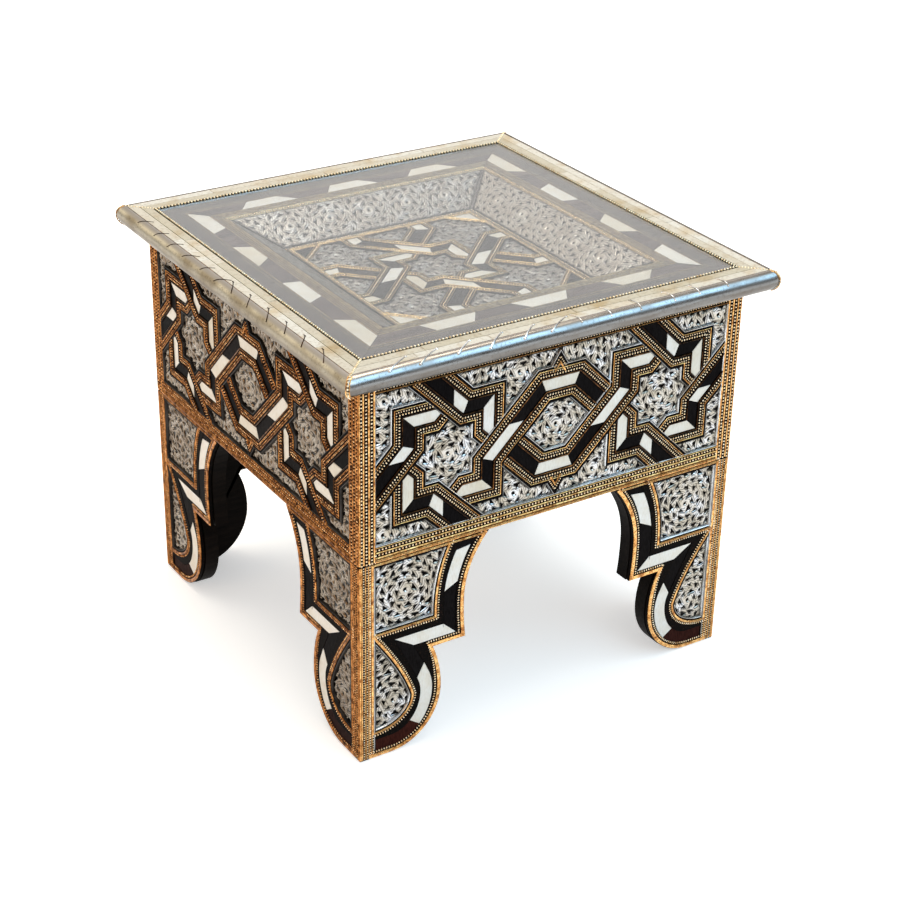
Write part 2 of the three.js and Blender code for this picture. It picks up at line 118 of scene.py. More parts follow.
# Leg outline, measured from the table's corner and from the floor
LEG_HEIGHT = APRON_BOTTOM - FIT_GAP
LEG_REACH = 147
FOOT_FLAT = 36
BULB_REACH = 94
BULB_MID = 62
TIP_REACH = 122
TIP_HEIGHT = 109.5
WAIST_REACH = 119.5
WAIST_HEIGHT = 150
ARCH_POWER = 2.3
SHOULDER_RISE_SHARE = 0.6
LEG_REVEAL = 0.5
LEG_BAND = 37
LEG_BAND_LOW = 33
LEG_TOP_BORDER = 5
UPPER_FIELD_RISE = 38
LOWER_FIELD_RISE = 24
LEG_CHANNEL_WIDTH = 14.4
LEG_CHANNEL_INSET = 17.3
LEG_CHANNEL_RISE = 15.8
LEG_CHANNEL_TURN = 50.5
LEG_CHANNEL_BULB_RISE = 42
LEG_CHANNEL_FOOT_RISE = 14
# Where on the bulb's curve the channel meets it, from level
BULB_TURN = math.pi / 7
TEARDROP_BEND_SHARES = (0.84, 0.42)
CURVE_STEPS = 28

# Inlay and wire sizes
INLAY_CLEARANCE = 0.2
INLAY_RECESS = 0.45
INLAY_BEVEL = 0.35
BED_GAP = 0.05
PLATE_HEIGHTS = (-CHANNEL_DEPTH + BED_GAP, -INLAY_RECESS)
JOINT_GAP = 0.14
LEAST_EDGE = 0.25
LEAST_MITRE = 0.2
# A cut band is first drawn this many half widths too long
SPARE_WIDTHS = 3
# A wire stands this deep in its bed. Its shoulders are at these shares of its half width and height.
WIRE_SINK = 0.1
WIRE_SHOULDER_SHARES = (0.9, 0.5)
# Edging of a silver field, as (out, up) points from the strap's edge
EDGING_SECTION = ((-0.3, -0.1), (0.4, -2.8), (1.1, -2.8), (1.1, -1.1), (0.1, 0.35), (-0.3, 0.3))
# Painted light on the edging: a share everywhere, and more where it runs to the right and where it runs up
EDGING_LIGHT_SHARE, EDGING_LIGHT_RUN_SHARES = 0.55, (0.6, 0.3)
MID_SHADE = 0.5

# Mesh size of the embossed sheets on the body and in the tray
RELIEF_CELL, TRAY_CELL = 0.63, 0.8


# Flat work: points are (u to the right, v up), and w stands out of the face.

def quarter_turned(point, turns):
    u, v = point
    for _ in range(turns % 4):
        u, v = -v, u
    return (u, v)


def offset_line(line, offset, start=None, end=None):
    """The line moved to its left by offset and mitred at its turns. start and end are cuts, each a
    (normal, distance)."""
    points = np.array(line, float)
    steps = np.diff(points, axis=0)
    steps /= np.linalg.norm(steps, axis=1)[:, None]
    into = np.vstack([steps[:1], steps])
    out = np.vstack([steps, steps[-1:]])
    along = into + out
    along /= np.linalg.norm(along, axis=1)[:, None]
    across = np.column_stack([-along[:, 1], along[:, 0]])
    moved = points + across * (offset / np.maximum((along * into).sum(axis=1), LEAST_MITRE))[:, None]
    for cut, index, step in ((start, 0, steps[0]), (end, -1, steps[-1])):
        if cut:
            normal = np.array(cut[0])
            short = cut[1] - moved[index] @ normal
            moved[index] = moved[index] + step * short / (step @ normal)
    return moved


def offset_loop(loop, offset):
    """A closed outline moved to its left (inwards, if it is anticlockwise) by offset."""
    ring = [loop[-1], *loop, loop[0]]
    return offset_line(ring, offset)[1:-1]


def anticlockwise(loop):
    points = np.array(loop, float)
    after = np.roll(points, -1, axis=0)
    area = (points[:, 0] * after[:, 1] - after[:, 0] * points[:, 1]).sum()
    return points if area > 0 else points[::-1]


def clipped(outline, cut, keep_below):
    """An outline cut off along a cut, keeping what lies below or above it."""
    points = anticlockwise(outline)
    side = points @ np.array(cut[0]) - cut[1]
    if keep_below:
        side = -side
    kept = []
    for i in range(len(points)):
        after = (i + 1) % len(points)
        if side[i] >= 0:
            kept.append(points[i])
        if (side[i] >= 0) != (side[after] >= 0):
            share = side[i] / (side[i] - side[after])
            kept.append(points[i] + (points[after] - points[i]) * share)
    return np.array(kept)


def thinned(outline):
    """An outline without the points that stand closer to the one before than the least edge."""
    kept = [outline[0]]
    for point in outline[1:]:
        if np.linalg.norm(point - kept[-1]) > LEAST_EDGE:
            kept.append(point)
    if np.linalg.norm(kept[-1] - kept[0]) <= LEAST_EDGE:
        kept.pop()
    return np.array(kept)


def mitre_cut(line, index, shift=0.0):
    """The cut along a line's mitre at one of its turns, moved on by shift."""
    before, here, after = (np.array(line[i], float) for i in (index - 1, index, index + 1))
    into = (here - before) / np.linalg.norm(here - before)
    out = (after - here) / np.linalg.norm(after - here)
    normal = (into + out) / np.linalg.norm(into + out)
    return (tuple(normal), float(here @ normal) + shift)


def moved_cut(cut, shift):
    return (cut[0], cut[1] + shift)


def band_outline(line, half_width, start=None, end=None):
    left = offset_line(line, half_width, start, end)
    right = offset_line(line, -half_width, start, end)
    return anticlockwise(np.vstack([left, right[::-1]]))


def cut_band(line, half_width, start=None, end=None):
    """A band cut off at its ends after it is drawn past them, which holds on a tight curve too."""
    points = np.array(line, float)
    spare = SPARE_WIDTHS * half_width
    if start:
        step = points[1] - points[0]
        points[0] -= step * spare / np.linalg.norm(step)
    if end:
        step = points[-1] - points[-2]
        points[-1] += step * spare / np.linalg.norm(step)
    outline = band_outline(points, half_width)
    if start:
        outline = clipped(outline, start, False)
    if end:
        outline = clipped(outline, end, True)
    return outline


def ellipse_arc(centre, reach, rise, start, end, steps):
    angles = np.linspace(start, end, steps + 1)
    return [(centre[0] + reach * math.cos(a), centre[1] + rise * math.sin(a)) for a in angles]


def rectangle(left, bottom, right, top):
    return [(left, bottom), (right, bottom), (right, top), (left, top)]


def outline_clearance(points, loop):
    """How far each point lies inside a closed outline, negative outside."""
    loop = np.array(loop, float)
    nearest = np.full(len(points), np.inf)
    inside = np.zeros(len(points), bool)
    for a, b in zip(loop, np.roll(loop, -1, axis=0)):
        edge = b - a
        share = np.clip(((points - a) @ edge) / (edge @ edge), 0, 1)
        nearest = np.minimum(nearest, np.linalg.norm(points - a - share[:, None] * edge, axis=1))
        crosses = (a[1] > points[:, 1]) != (b[1] > points[:, 1])
        rise = edge[1] if edge[1] else 1.0
        inside ^= crosses & (points[:, 0] < a[0] + (points[:, 1] - a[1]) * edge[0] / rise)
    return np.where(inside, nearest, -nearest)


# Placing flat work on the table, all in millimetres

def on_side(face):
    """Places flat work on the front side, with w measured out from face."""
    def place(points):
        return np.column_stack([points[:, 0], -face - points[:, 2], points[:, 1]])
    return place


def on_top(height):
    """Places flat work on a level face, with w measured up from height."""
    def place(points):
        return np.column_stack([points[:, 0], points[:, 1], height + points[:, 2]])
    return place


def turned(points, turns):
    x, y = points[:, 0], points[:, 1]
    for _ in range(turns % 4):
        x, y = -y, x
    return np.column_stack([x, y, points[:, 2]])


def ring_faces(rings, size, closed=False):
    """Faces between rings of points, with a cap at either end unless the last ring meets the first."""
    faces = []
    for i in range(rings if closed else rings - 1):
        here, there = i * size, (i + 1) % rings * size
        for j in range(size):
            after = (j + 1) % size
            faces.append((here + j, here + after, there + after, there + j))
    if not closed:
        faces += [tuple(range(size))[::-1], tuple(range((rings - 1) * size, rings * size))]
    return faces


class Parts:
    """Closed shapes that go into one piece: their points, faces, and a shade for each shape."""

    def __init__(self):
        self.points = []
        self.faces = []
        self.shades = []
        self.count = 0

    def add(self, points, faces, shade=MID_SHADE):
        points = np.array(points, float)
        volume = 0.0
        for face in faces:
            first = points[face[0]]
            for a, b in zip(face[1:-1], face[2:]):
                volume += float(np.dot(first, np.cross(points[a], points[b])))
        if volume < 0:
            faces = [face[::-1] for face in faces]
        self.points.append(points)
        self.faces += [tuple(i + self.count for i in face) for face in faces]
        self.shades += [shade] * len(faces) if np.isscalar(shade) else list(shade)
        self.count += len(points)

    def add_prism(self, loop, bottom, top, bevel=0.0, shade=MID_SHADE):
        """An outline given a thickness, with its top edge taken off by bevel."""
        outline = thinned(anticlockwise(loop))
        rings = [(outline, bottom), (outline, top - bevel)]
        if bevel:
            rings.append((offset_loop(outline, bevel), top))
        size = len(outline)
        points = [(u, v, w) for ring, w in rings for u, v in ring]
        faces = [tuple(range(size))[::-1]]
        for layer in range(len(rings) - 1):
            base = layer * size
            for i in range(size):
                after = (i + 1) % size
                faces.append((base + i, base + after, base + size + after, base + size + i))
        faces.append(tuple(range((len(rings) - 1) * size, len(rings) * size)))
        self.add(points, faces, shade)

    def add_sweep(self, line, section, closed=False, shade=MID_SHADE):
        """A section of (offset to the left, height) points run along a flat line."""
        move = offset_loop if closed else offset_line
        lines = [move(line, offset) for offset, _ in section]
        size, steps = len(section), len(lines[0])
        points = [(*lines[j][i], section[j][1]) for i in range(steps) for j in range(size)]
        self.add(points, ring_faces(steps, size, closed), shade)

    def add_wire(self, line, width, height, base=0.0, **options):
        """A half-round wire along a line on the face, or above it by base."""
        out, up = WIRE_SHOULDER_SHARES
        section = [(-width / 2, base - WIRE_SINK), (width / 2, base - WIRE_SINK)]
        section += [(side * width / 2, base + rise * height)
                    for side, rise in ((out, up), (0, 1), (-out, up))]
        self.add_sweep(line, section, **options)

    def add_edging(self, line, offset=0.0, way=1, lift=0.0, closed=False):
        """The turned-up edge of a silver sheet: a narrow land beside the line by offset, and a slope down
        into the field, which is on its left if way is 1 and on its right if way is -1."""
        section = [(offset + way * out, lift + rise) for out, rise in EDGING_SECTION]
        points = np.array([*line, line[0]] if closed else line, float)
        steps = np.diff(points, axis=0)
        steps /= np.linalg.norm(steps, axis=1)[:, None]
        # Painted shade lies on the slopes that face down or to the right.
        edging_light = np.clip(EDGING_LIGHT_SHARE + way * (steps @ EDGING_LIGHT_RUN_SHARES), 0, 1)
        shades = [*np.repeat(edging_light, len(section)), *([] if closed else [MID_SHADE] * 2)]
        self.add_sweep(line, section, closed=closed, shade=shades)

    def mesh_points(self):
        return np.vstack(self.points)


# Degrees over which an edge stays sharp: on flat work, the nose, round wires, and beads and sheets
SHARP_ANGLE, NOSE_ANGLE, ROUND_ANGLE, SOFT_ANGLE = 35, 50, 60, 180


def place_object(name, data):
    thing = bpy.data.objects.new(name, data)
    bpy.context.scene.collection.objects.link(thing)
    return thing


def make_piece(name, points, faces, material, slot, body="table", shades=None, smooth=None, replaces=()):
    """A finished piece from points in millimetres. smooth is the angle in degrees above which an edge stays
    sharp."""
    mesh = bpy.data.meshes.new(name)
    mesh.from_pydata((np.asarray(points) * MM).tolist(), [], faces)
    if shades is not None:
        layer = mesh.attributes.new("shade", "FLOAT", "FACE")
        layer.data.foreach_set("value", np.asarray(shades, np.float32))
    mesh.materials.append(material)
    if smooth is not None:
        mesh.shade_smooth()
        mesh.set_sharp_from_angle(angle=math.radians(smooth))
    mesh.validate()
    piece = place_object(name, mesh)
    if replaces:
        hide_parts(*replaces)
    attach(piece, body)
    return piece


def mirrors(place):
    """Whether a placing function turns a shape inside out."""
    corner, *ends = place(np.vstack([np.zeros(3), np.eye(3)]))
    return np.linalg.det([end - corner for end in ends]) < 0


def make_parts(name, parts, place, turns, material, slot, smooth=SHARP_ANGLE, **options):
    points = turned(place(parts.mesh_points()), turns)
    faces = [face[::-1] for face in parts.faces] if mirrors(place) else parts.faces
    return make_piece(name, points, faces, material, slot, shades=parts.shades, smooth=smooth, **options)


# Nodes

def linear(hex_text):
    """An sRGB hex colour as linear red, green, blue and 1."""
    parts = [int(hex_text[i:i + 2], 16) / 255 for i in (1, 3, 5)]
    return (*[c / 12.92 if c <= 0.04045 else ((c + 0.055) / 1.055) ** 2.4 for c in parts], 1.0)


def add_node(tree, kind, inputs=None, stops=(), **settings):
    """A node with its settings, and its inputs given as values, as hex colours or as the sockets that
    feed them. The stops of a colour ramp are (position, colour), where a number is a grey."""
    node = tree.nodes.new(kind)
    for name, value in settings.items():
        setattr(node, name, value)
    for socket, value in (inputs or {}).items():
        if isinstance(value, bpy.types.NodeSocket):
            tree.links.new(value, node.inputs[socket])
        else:
            node.inputs[socket].default_value = linear(value) if isinstance(value, str) else value
    if stops:
        elements = node.color_ramp.elements
        while len(elements) < len(stops):
            elements.new(0.5)
        for element, (position, colour) in zip(elements, stops):
            element.position = position
            element.color = linear(colour) if isinstance(colour, str) else (colour, colour, colour, 1)
    return node


# Beads: one tree sets a bead at every pitch along the lines of a flat or bent layout.
BEAD_SIDES, BEAD_RINGS = 7, 4


def build_bead_tree():
    tree = bpy.data.node_groups.new("beads_along_lines", "GeometryNodeTree")
    interface = tree.interface
    interface.new_socket("Lines", in_out="INPUT", socket_type="NodeSocketGeometry")
    for label in ("Pitch", "Length", "Width", "Height", "Slant"):
        interface.new_socket(label, in_out="INPUT", socket_type="NodeSocketFloat")
    interface.new_socket("Material", in_out="INPUT", socket_type="NodeSocketMaterial")
    interface.new_socket("Beads", in_out="OUTPUT", socket_type="NodeSocketGeometry")
    given = add_node(tree, "NodeGroupInput").outputs
    spaced = add_node(tree, "GeometryNodeResampleCurve",
                      {"Curve": given["Lines"], "Length": given["Pitch"]}, mode="LENGTH")
    ball = add_node(tree, "GeometryNodeMeshUVSphere", {"Segments": BEAD_SIDES, "Rings": BEAD_RINGS,
                                                       "Radius": 0.5})
    size = add_node(tree, "ShaderNodeCombineXYZ",
                    {"X": given["Length"], "Y": given["Width"], "Z": given["Height"]})
    slant = add_node(tree, "ShaderNodeCombineXYZ", {"Z": given["Slant"]})
    bead = add_node(tree, "GeometryNodeTransform", {"Geometry": ball.outputs["Mesh"],
                    "Scale": size.outputs[0], "Rotation": slant.outputs[0]})
    tangent = add_node(tree, "GeometryNodeInputTangent")
    facing = add_node(tree, "FunctionNodeAlignRotationToVector", {"Vector": tangent.outputs[0]}, axis="X")
    set_out = add_node(tree, "GeometryNodeInstanceOnPoints", {
        "Points": spaced.outputs[0], "Instance": bead.outputs[0], "Rotation": facing.outputs[0]})
    real = add_node(tree, "GeometryNodeRealizeInstances", {0: set_out.outputs[0]})
    smooth = add_node(tree, "GeometryNodeSetShadeSmooth", {0: real.outputs[0]})
    finished = add_node(tree, "GeometryNodeSetMaterial",
                        {"Geometry": smooth.outputs[0], "Material": given["Material"]})
    add_node(tree, "NodeGroupOutput", {"Beads": finished.outputs[0]})
    return tree


BEAD_TREE = build_bead_tree()


def bead_mesh(rows, material, pitch, length, width, height, slant=0.0):
    """The beads of all the rows as (points, faces). A row is a list of (x, y) or (x, y, z) points."""
    curve = bpy.data.curves.new("bead_rows", "CURVE")
    curve.dimensions = "3D"
    for row in rows:
        spline = curve.splines.new("POLY")
        spline.points.add(len(row) - 1)
        for target, point in zip(spline.points, row):
            x, y, z = (*point, 0.0)[:3]
            target.co = (x, y, z, 1)
    holder = place_object("bead_rows", curve)
    modifier = holder.modifiers.new("beads", "NODES")
    modifier.node_group = BEAD_TREE
    values = {"Pitch": pitch, "Length": length, "Width": width, "Height": height, "Slant": slant,
              "Material": material}
    for item in BEAD_TREE.interface.items_tree:
        if item.in_out == "INPUT" and item.name in values:
            modifier[item.identifier] = values[item.name]
    graph = bpy.context.evaluated_depsgraph_get()
    mesh = bpy.data.meshes.new_from_object(holder.evaluated_get(graph))
    points = np.empty(len(mesh.vertices) * 3)
    mesh.vertices.foreach_get("co", points)
    faces = [tuple(polygon.vertices) for polygon in mesh.polygons]
    bpy.data.objects.remove(holder)
    bpy.data.curves.remove(curve)
    bpy.data.meshes.remove(mesh)
    return points.reshape(-1, 3), faces


class BeadRows:
    """Rows of beads of a few kinds, laid out flat and made together as one piece."""

    def __init__(self, material):
        self.material = material
        self.rows = {}

    def add(self, line, kind):
        self.rows.setdefault(kind, []).append(line)

    def mesh(self):
        points, faces, count = [], [], 0
        for kind, rows in self.rows.items():
            some, their_faces = bead_mesh(rows, self.material, **BEAD_KINDS[kind])
            points.append(some)
            faces += [tuple(i + count for i in face) for face in their_faces]
            count += len(some)
        return np.vstack(points), faces


# Pitch, length along the row, width across it and height over the face, in millimetres, and slant
BEAD_KINDS = {
    "bar": dict(pitch=3.2, length=1.9, width=2.7, height=2.1, slant=math.radians(-8)),
    "fine": dict(pitch=2.8, length=1.6, width=2.0, height=1.8),
    "round": dict(pitch=2.6, length=1.7, width=2.1, height=2.0),
    "small": dict(pitch=3.7, length=2.4, width=2.7, height=2.3),
    "rope": dict(pitch=3.8, length=2.4, width=2.9, height=3.0, slant=math.radians(20)),
    "mitre": dict(pitch=3.0, length=1.9, width=3.4, height=2.4, slant=math.radians(20)),
    "tray": dict(pitch=2.9, length=1.9, width=2.1, height=1.5),
    "strip": dict(pitch=2.9, length=1.7, width=2.8, height=1.9),
}


# Materials

def start_material(name, **values):
    """A material with one Principled shader. Its tree, its shader and its Object coordinates in metres."""
    material = bpy.data.materials.new(name)
    material.use_nodes = True
    tree = material.node_tree
    tree.nodes.clear()
    shader = add_node(tree, "ShaderNodeBsdfPrincipled", values)
    add_node(tree, "ShaderNodeOutputMaterial", {"Surface": shader.outputs[0]})
    place = add_node(tree, "ShaderNodeTexCoord").outputs["Object"]
    return material, tree, shader, place


def per_metre(size_mm):
    """The texture scale that makes one cell of a pattern this many millimetres."""
    return 1 / (size_mm * MM)


def uneven(tree, place, size_mm, detail=3.0, stretch=(1, 1, 1), roughness=0.5):
    """Soft patches of this size, from 0 to 1, that run on through the whole material."""
    scaled = add_node(tree, "ShaderNodeMapping", {"Vector": place, "Scale": stretch})
    return add_node(tree, "ShaderNodeTexNoise", {"Vector": scaled.outputs[0], "Scale": per_metre(size_mm),
                    "Detail": detail, "Roughness": roughness}).outputs["Fac"]


def own_tones(tree, *stops):
    """The tones that the pieces of a material have by their own shade."""
    shade = add_node(tree, "ShaderNodeAttribute", attribute_name="shade").outputs["Fac"]
    return add_node(tree, "ShaderNodeValToRGB", {"Fac": shade}, stops).outputs[0]


def stained(tree, colour, share, pattern, *stops):
    """A colour with a stain sunk into it, in the tones that a pattern has at these stops."""
    stain = add_node(tree, "ShaderNodeValToRGB", {"Fac": pattern}, stops).outputs[0]
    full = add_node(tree, "ShaderNodeMix", {0: 1.0, 6: colour, 7: stain}, data_type="RGBA",
                    blend_type="MULTIPLY").outputs[2]
    if share == 1:
        return full
    return add_node(tree, "ShaderNodeMix", {0: share, 6: colour, 7: full}, data_type="RGBA").outputs[2]


def covered(tree, under, over, pattern, *stops):
    """One colour lying over another, as thickly as a pattern is high at these stops."""
    amount = add_node(tree, "ShaderNodeValToRGB", {"Fac": pattern}, stops).outputs[0]
    return add_node(tree, "ShaderNodeMix", {0: amount, 6: under, 7: over}, data_type="RGBA").outputs[2]


def finish_surface(tree, shader, colour, relief, depth_mm, gloss=None, *stops):
    """Gives a shader its colour, its fine relief and, where a pattern makes it uneven, its roughness."""
    tree.links.new(colour, shader.inputs["Base Color"])
    if gloss:
        roughness = add_node(tree, "ShaderNodeValToRGB", {"Fac": gloss}, stops).outputs[0]
        tree.links.new(roughness, shader.inputs["Roughness"])
    dents = add_node(tree, "ShaderNodeBump", {"Height": relief, "Distance": depth_mm * MM, "Strength": 1.0})
    tree.links.new(dents.outputs[0], shader.inputs["Normal"])


BONE_IOR, GLASS_IOR = 1.54, 1.5
# Grain runs along the boards, which are drawn out along the table's width
WOOD_STRETCH = (0.12, 1, 1)


def make_inlay_bone():
    # Camel bone, sawn, filed flat and waxed: near white, with fine drawn-out fibres and a soft shine.
    # Each plate has its own tone, read from its shade.
    material, tree, shader, place = start_material("camel_bone_waxed", Roughness=0.42)
    shader.inputs["IOR"].default_value = BONE_IOR
    colour = own_tones(tree, (0.0, "#EAE2D2"), (0.45, "#F4F0E8"), (1.0, "#F8F6F2"))
    fibres = uneven(tree, place, size_mm=1.6, detail=4.0, stretch=(1, 1, 0.3))
    clouds = uneven(tree, place, size_mm=16, detail=2.0)
    colour = stained(tree, colour, 0.22, fibres, (0.35, "#D9CBB2"), (0.55, "#FFFFFF"))
    colour = stained(tree, colour, 0.35, clouds, (0.3, "#E9DCC4"), (0.62, "#FFFFFF"))
    finish_surface(tree, shader, colour, fibres, 0.05)
    return material


def make_rim_bone():
    # Camel bone in long plates on the rim, oiled and handled: cream with honey patches and brown streaks.
    material, tree, shader, place = start_material("camel_bone_oiled", Roughness=0.4)
    shader.inputs["IOR"].default_value = BONE_IOR
    colour = own_tones(tree, (0.0, "#ADA48C"), (0.4, "#BCB5A4"), (0.7, "#C6C0B2"), (1.0, "#CBC8BE"))
    clouds = uneven(tree, place, size_mm=34)
    fibres = uneven(tree, place, size_mm=3.0, detail=5.0)
    colour = stained(tree, colour, 0.75, clouds, (0.5, "#FFFFFF"), (0.72, "#E0C48E"))
    colour = stained(tree, colour, 0.35, fibres, (0.33, "#A98C5E"), (0.5, "#FFFFFF"))
    finish_surface(tree, shader, colour, fibres, 0.08, clouds, (0.3, 0.32), (0.7, 0.5))
    return material


def make_ebony():
    # Ebonised wood, scraped and waxed: near black with a warm cast, and a few plates of red-brown wood.
    material, tree, shader, place = start_material("ebonised_wood_waxed", Roughness=0.38)
    shader.inputs["Specular IOR Level"].default_value = 0.01
    colour = own_tones(tree, (0.0, "#141213"), (0.6, "#1B1818"), (0.8, "#241A18"), (1.0, "#42201A"))
    grain = uneven(tree, place, size_mm=1.1, detail=4.0, stretch=(1, 1, 0.2))
    colour = stained(tree, colour, 0.6, grain, (0.35, "#7A6E68"), (0.6, "#FFFFFF"))
    finish_surface(tree, shader, colour, grain, 0.06, grain, (0.3, 0.48), (0.7, 0.3))
    return material


def make_ground():
    # The bed that the beaded strips lie in: pitch and lamp black, matt, with a little brass dust in it.
    material, tree, shader, place = start_material("blackened_pitch", Roughness=0.6)
    shader.inputs["Specular IOR Level"].default_value = 0.03
    specks = uneven(tree, place, size_mm=1.4, detail=2.0)
    colour = add_node(tree, "ShaderNodeValToRGB", {"Fac": specks}, ((0.58, "#090706"), (0.76, "#33211A")))
    finish_surface(tree, shader, colour.outputs[0], specks, 0.15)
    return material


def make_brass(name, bright, worn, dark, roughness, wear=0.5, patch_mm=7, streak=(1, 1, 1),
               depth=0.7, shaded=False):
    # Rolled brass strip, stamped and patinated: golden on the high spots, brown to black where it is worn.
    # A shaded one is darker in the pieces whose shade is low.
    material, tree, shader, place = start_material(name, Metallic=1.0, Roughness=roughness)
    patches = uneven(tree, place, patch_mm, detail=4.0, roughness=0.65)
    fine = uneven(tree, place, size_mm=1.5, detail=2.0, stretch=streak)
    colour = add_node(tree, "ShaderNodeValToRGB", {"Fac": patches},
                      ((wear - 0.14, dark), (wear - 0.02, worn), (wear + 0.12, bright))).outputs[0]
    colour = stained(tree, colour, depth, fine, (0.36, "#4A3A2C"), (0.52, "#FFFFFF"))
    if shaded:
        tone = add_node(tree, "ShaderNodeAttribute", attribute_name="shade").outputs["Fac"]
        colour = stained(tree, colour, 1, tone, (0.0, "#5A5048"), (1.0, "#FFFFFF"))
    finish_surface(tree, shader, colour, fine, 0.2, patches,
                   (wear - 0.2, min(1.0, roughness + 0.2)), (wear + 0.1, roughness))
    return material


def make_repousse(name, dull, mid, bright, roughness=0.2):
    # Nickel silver sheet, worked in relief from behind and chased from the front, then blackened and
    # rubbed back: bright on the strands and black in the pits. The lines chased between the strands are
    # faintly dark, partly from blackening left in them and partly from painted shade in those creases.
    # The mesh's relief is 0 in a pit and lower in the painted shade at a field's edge, and its strand is 0
    # between two strands.
    material, tree, shader, place = start_material(name, Metallic=1.0)
    relief = add_node(tree, "ShaderNodeAttribute", attribute_name="relief").outputs["Fac"]
    strand = add_node(tree, "ShaderNodeAttribute", attribute_name="strand").outputs["Fac"]
    clouds = uneven(tree, place, size_mm=14, detail=2.0)
    scuffs = uneven(tree, place, size_mm=2.6, roughness=0.7)
    colour = add_node(tree, "ShaderNodeValToRGB", {"Fac": clouds},
                      ((0.36, dull), (0.52, mid), (0.66, bright))).outputs[0]
    # Painted crease shade, with some blackening, in the lines between the strands.
    colour = covered(tree, colour, "#2E2823", strand, (0.0, 0.85), (0.6, 0.0))
    colour = covered(tree, colour, "#4A423C", scuffs, (0.3, 0.35), (0.4, 0.0))
    colour = covered(tree, "#020202", colour, relief, (0.4, 0.0), (0.9, 1.0))
    finish_surface(tree, shader, colour, scuffs, 0.12, clouds, (0.3, roughness + 0.1), (0.7, roughness))
    return material


# How far under the bone's top the nose's crown of painted shade starts to fade in, and where it is full
CROWN_DEPTHS = (3.0, 1.2)


def make_nickel_silver(name, bright, dull, roughness, dent_mm=18, dent_depth=0.5, shade_span=None,
                       shaded=False):
    # Nickel silver sheet, beaten smooth and polished: a cool mirror with shallow dents and fine scratches.
    # Where it has a shade span (low, high), painted shade in patchy brown deepens on the way down through
    # it, and the crown beside the bone is dimmed to a warm grey by painted shade.
    material, tree, shader, place = start_material(name, Metallic=1.0, Roughness=roughness)
    clouds = uneven(tree, place, size_mm=30)
    colour = add_node(tree, "ShaderNodeValToRGB", {"Fac": clouds}, ((0.35, dull), (0.6, bright))).outputs[0]
    scratches = uneven(tree, place, size_mm=2.2)
    colour = covered(tree, colour, "#4A4440", scratches, (0.32, 0.35), (0.45, 0.0))
    if shade_span:
        height = add_node(tree, "ShaderNodeSeparateXYZ", {0: place}).outputs["Z"]
        crown_low, crown_high = [(BONE_TOP - depth) * MM for depth in CROWN_DEPTHS]
        crown = add_node(tree, "ShaderNodeMapRange", {"Value": height, "From Min": crown_low,
                                                      "From Max": crown_high})
        # Painted shade that dims the crown beside the bone.
        colour = add_node(tree, "ShaderNodeMix", {0: crown.outputs[0], 6: colour, 7: "#A39C94"},
                          data_type="RGBA").outputs[2]
        shade_span_low, shade_span_high = [end * MM for end in shade_span]
        lowness = add_node(tree, "ShaderNodeMapRange", {"Value": height, "From Min": shade_span_low,
                           "From Max": shade_span_high, "To Min": 1.0, "To Max": 0.0})
        patchy = add_node(tree, "ShaderNodeMath", {0: clouds, 1: 0.5, 2: lowness.outputs[0]},
                          operation="MULTIPLY_ADD")
        # Painted shade: patchy brown, deepening towards the underside.
        colour = covered(tree, colour, "#54483C", patchy.outputs[0], (0.35, 0.0), (0.85, 0.8))
    # Painted shade: a low shade darkens a piece's faces, and on the edging it darkens the slopes that face
    # down or to the right.
    if shaded:
        tone = add_node(tree, "ShaderNodeAttribute", attribute_name="shade").outputs["Fac"]
        colour = stained(tree, colour, 1, tone, (0.0, "#1E2228"), (1.0, "#FFFFFF"))
    dents = uneven(tree, place, dent_mm, detail=1.0)
    finish_surface(tree, shader, colour, dents, dent_depth, clouds,
                   (0.3, roughness + 0.12), (0.7, roughness))
    return material


def make_wood(name, dark, mid, light, grain_mm, roughness, shine=0.35):
    # Planed hardwood, stained dark and waxed: long dark grain with lighter streaks between.
    material, tree, shader, place = start_material(name, Roughness=roughness)
    shader.inputs["Specular IOR Level"].default_value = shine
    grain = uneven(tree, place, grain_mm, detail=6.0, stretch=WOOD_STRETCH, roughness=0.6)
    pores = uneven(tree, place, size_mm=0.9, detail=2.0, stretch=WOOD_STRETCH)
    colour = add_node(tree, "ShaderNodeValToRGB", {"Fac": grain},
                      ((0.32, dark), (0.5, mid), (0.7, light))).outputs[0]
    colour = covered(tree, colour, "#0F0B09", pores, (0.34, 0.6), (0.46, 0.0))
    finish_surface(tree, shader, colour, pores, 0.12, grain, (0.3, roughness + 0.12), (0.7, roughness))
    return material


def make_glass():
    # Float glass, 4 mm, with a faint green-grey body.
    material, _, shader, _ = start_material("float_glass", Roughness=0.02)
    shader.inputs["Base Color"].default_value = linear("#F6F8F8")
    shader.inputs["IOR"].default_value = GLASS_IOR
    shader.inputs["Transmission Weight"].default_value = 1.0
    return material


BONE = make_inlay_bone()
RIM_BONE = make_rim_bone()
EBONY = make_ebony()
GROUND = make_ground()
BEAD_BRASS = make_brass("beaded_brass", "#FFF0D4", "#F6D4A2", "#A47446", 0.2, 0.46, 4, depth=0.3)
STRIP_BRASS = make_brass("brass_strip", "#FFCE88", "#E6A660", "#9C6234", 0.26, 0.47, 6, (1, 1, 2.0))
PALE_BRASS = make_brass("lacquered_brass_strip", "#C4A878", "#988056", "#665038", 0.3, 0.46, 5, depth=0.4)
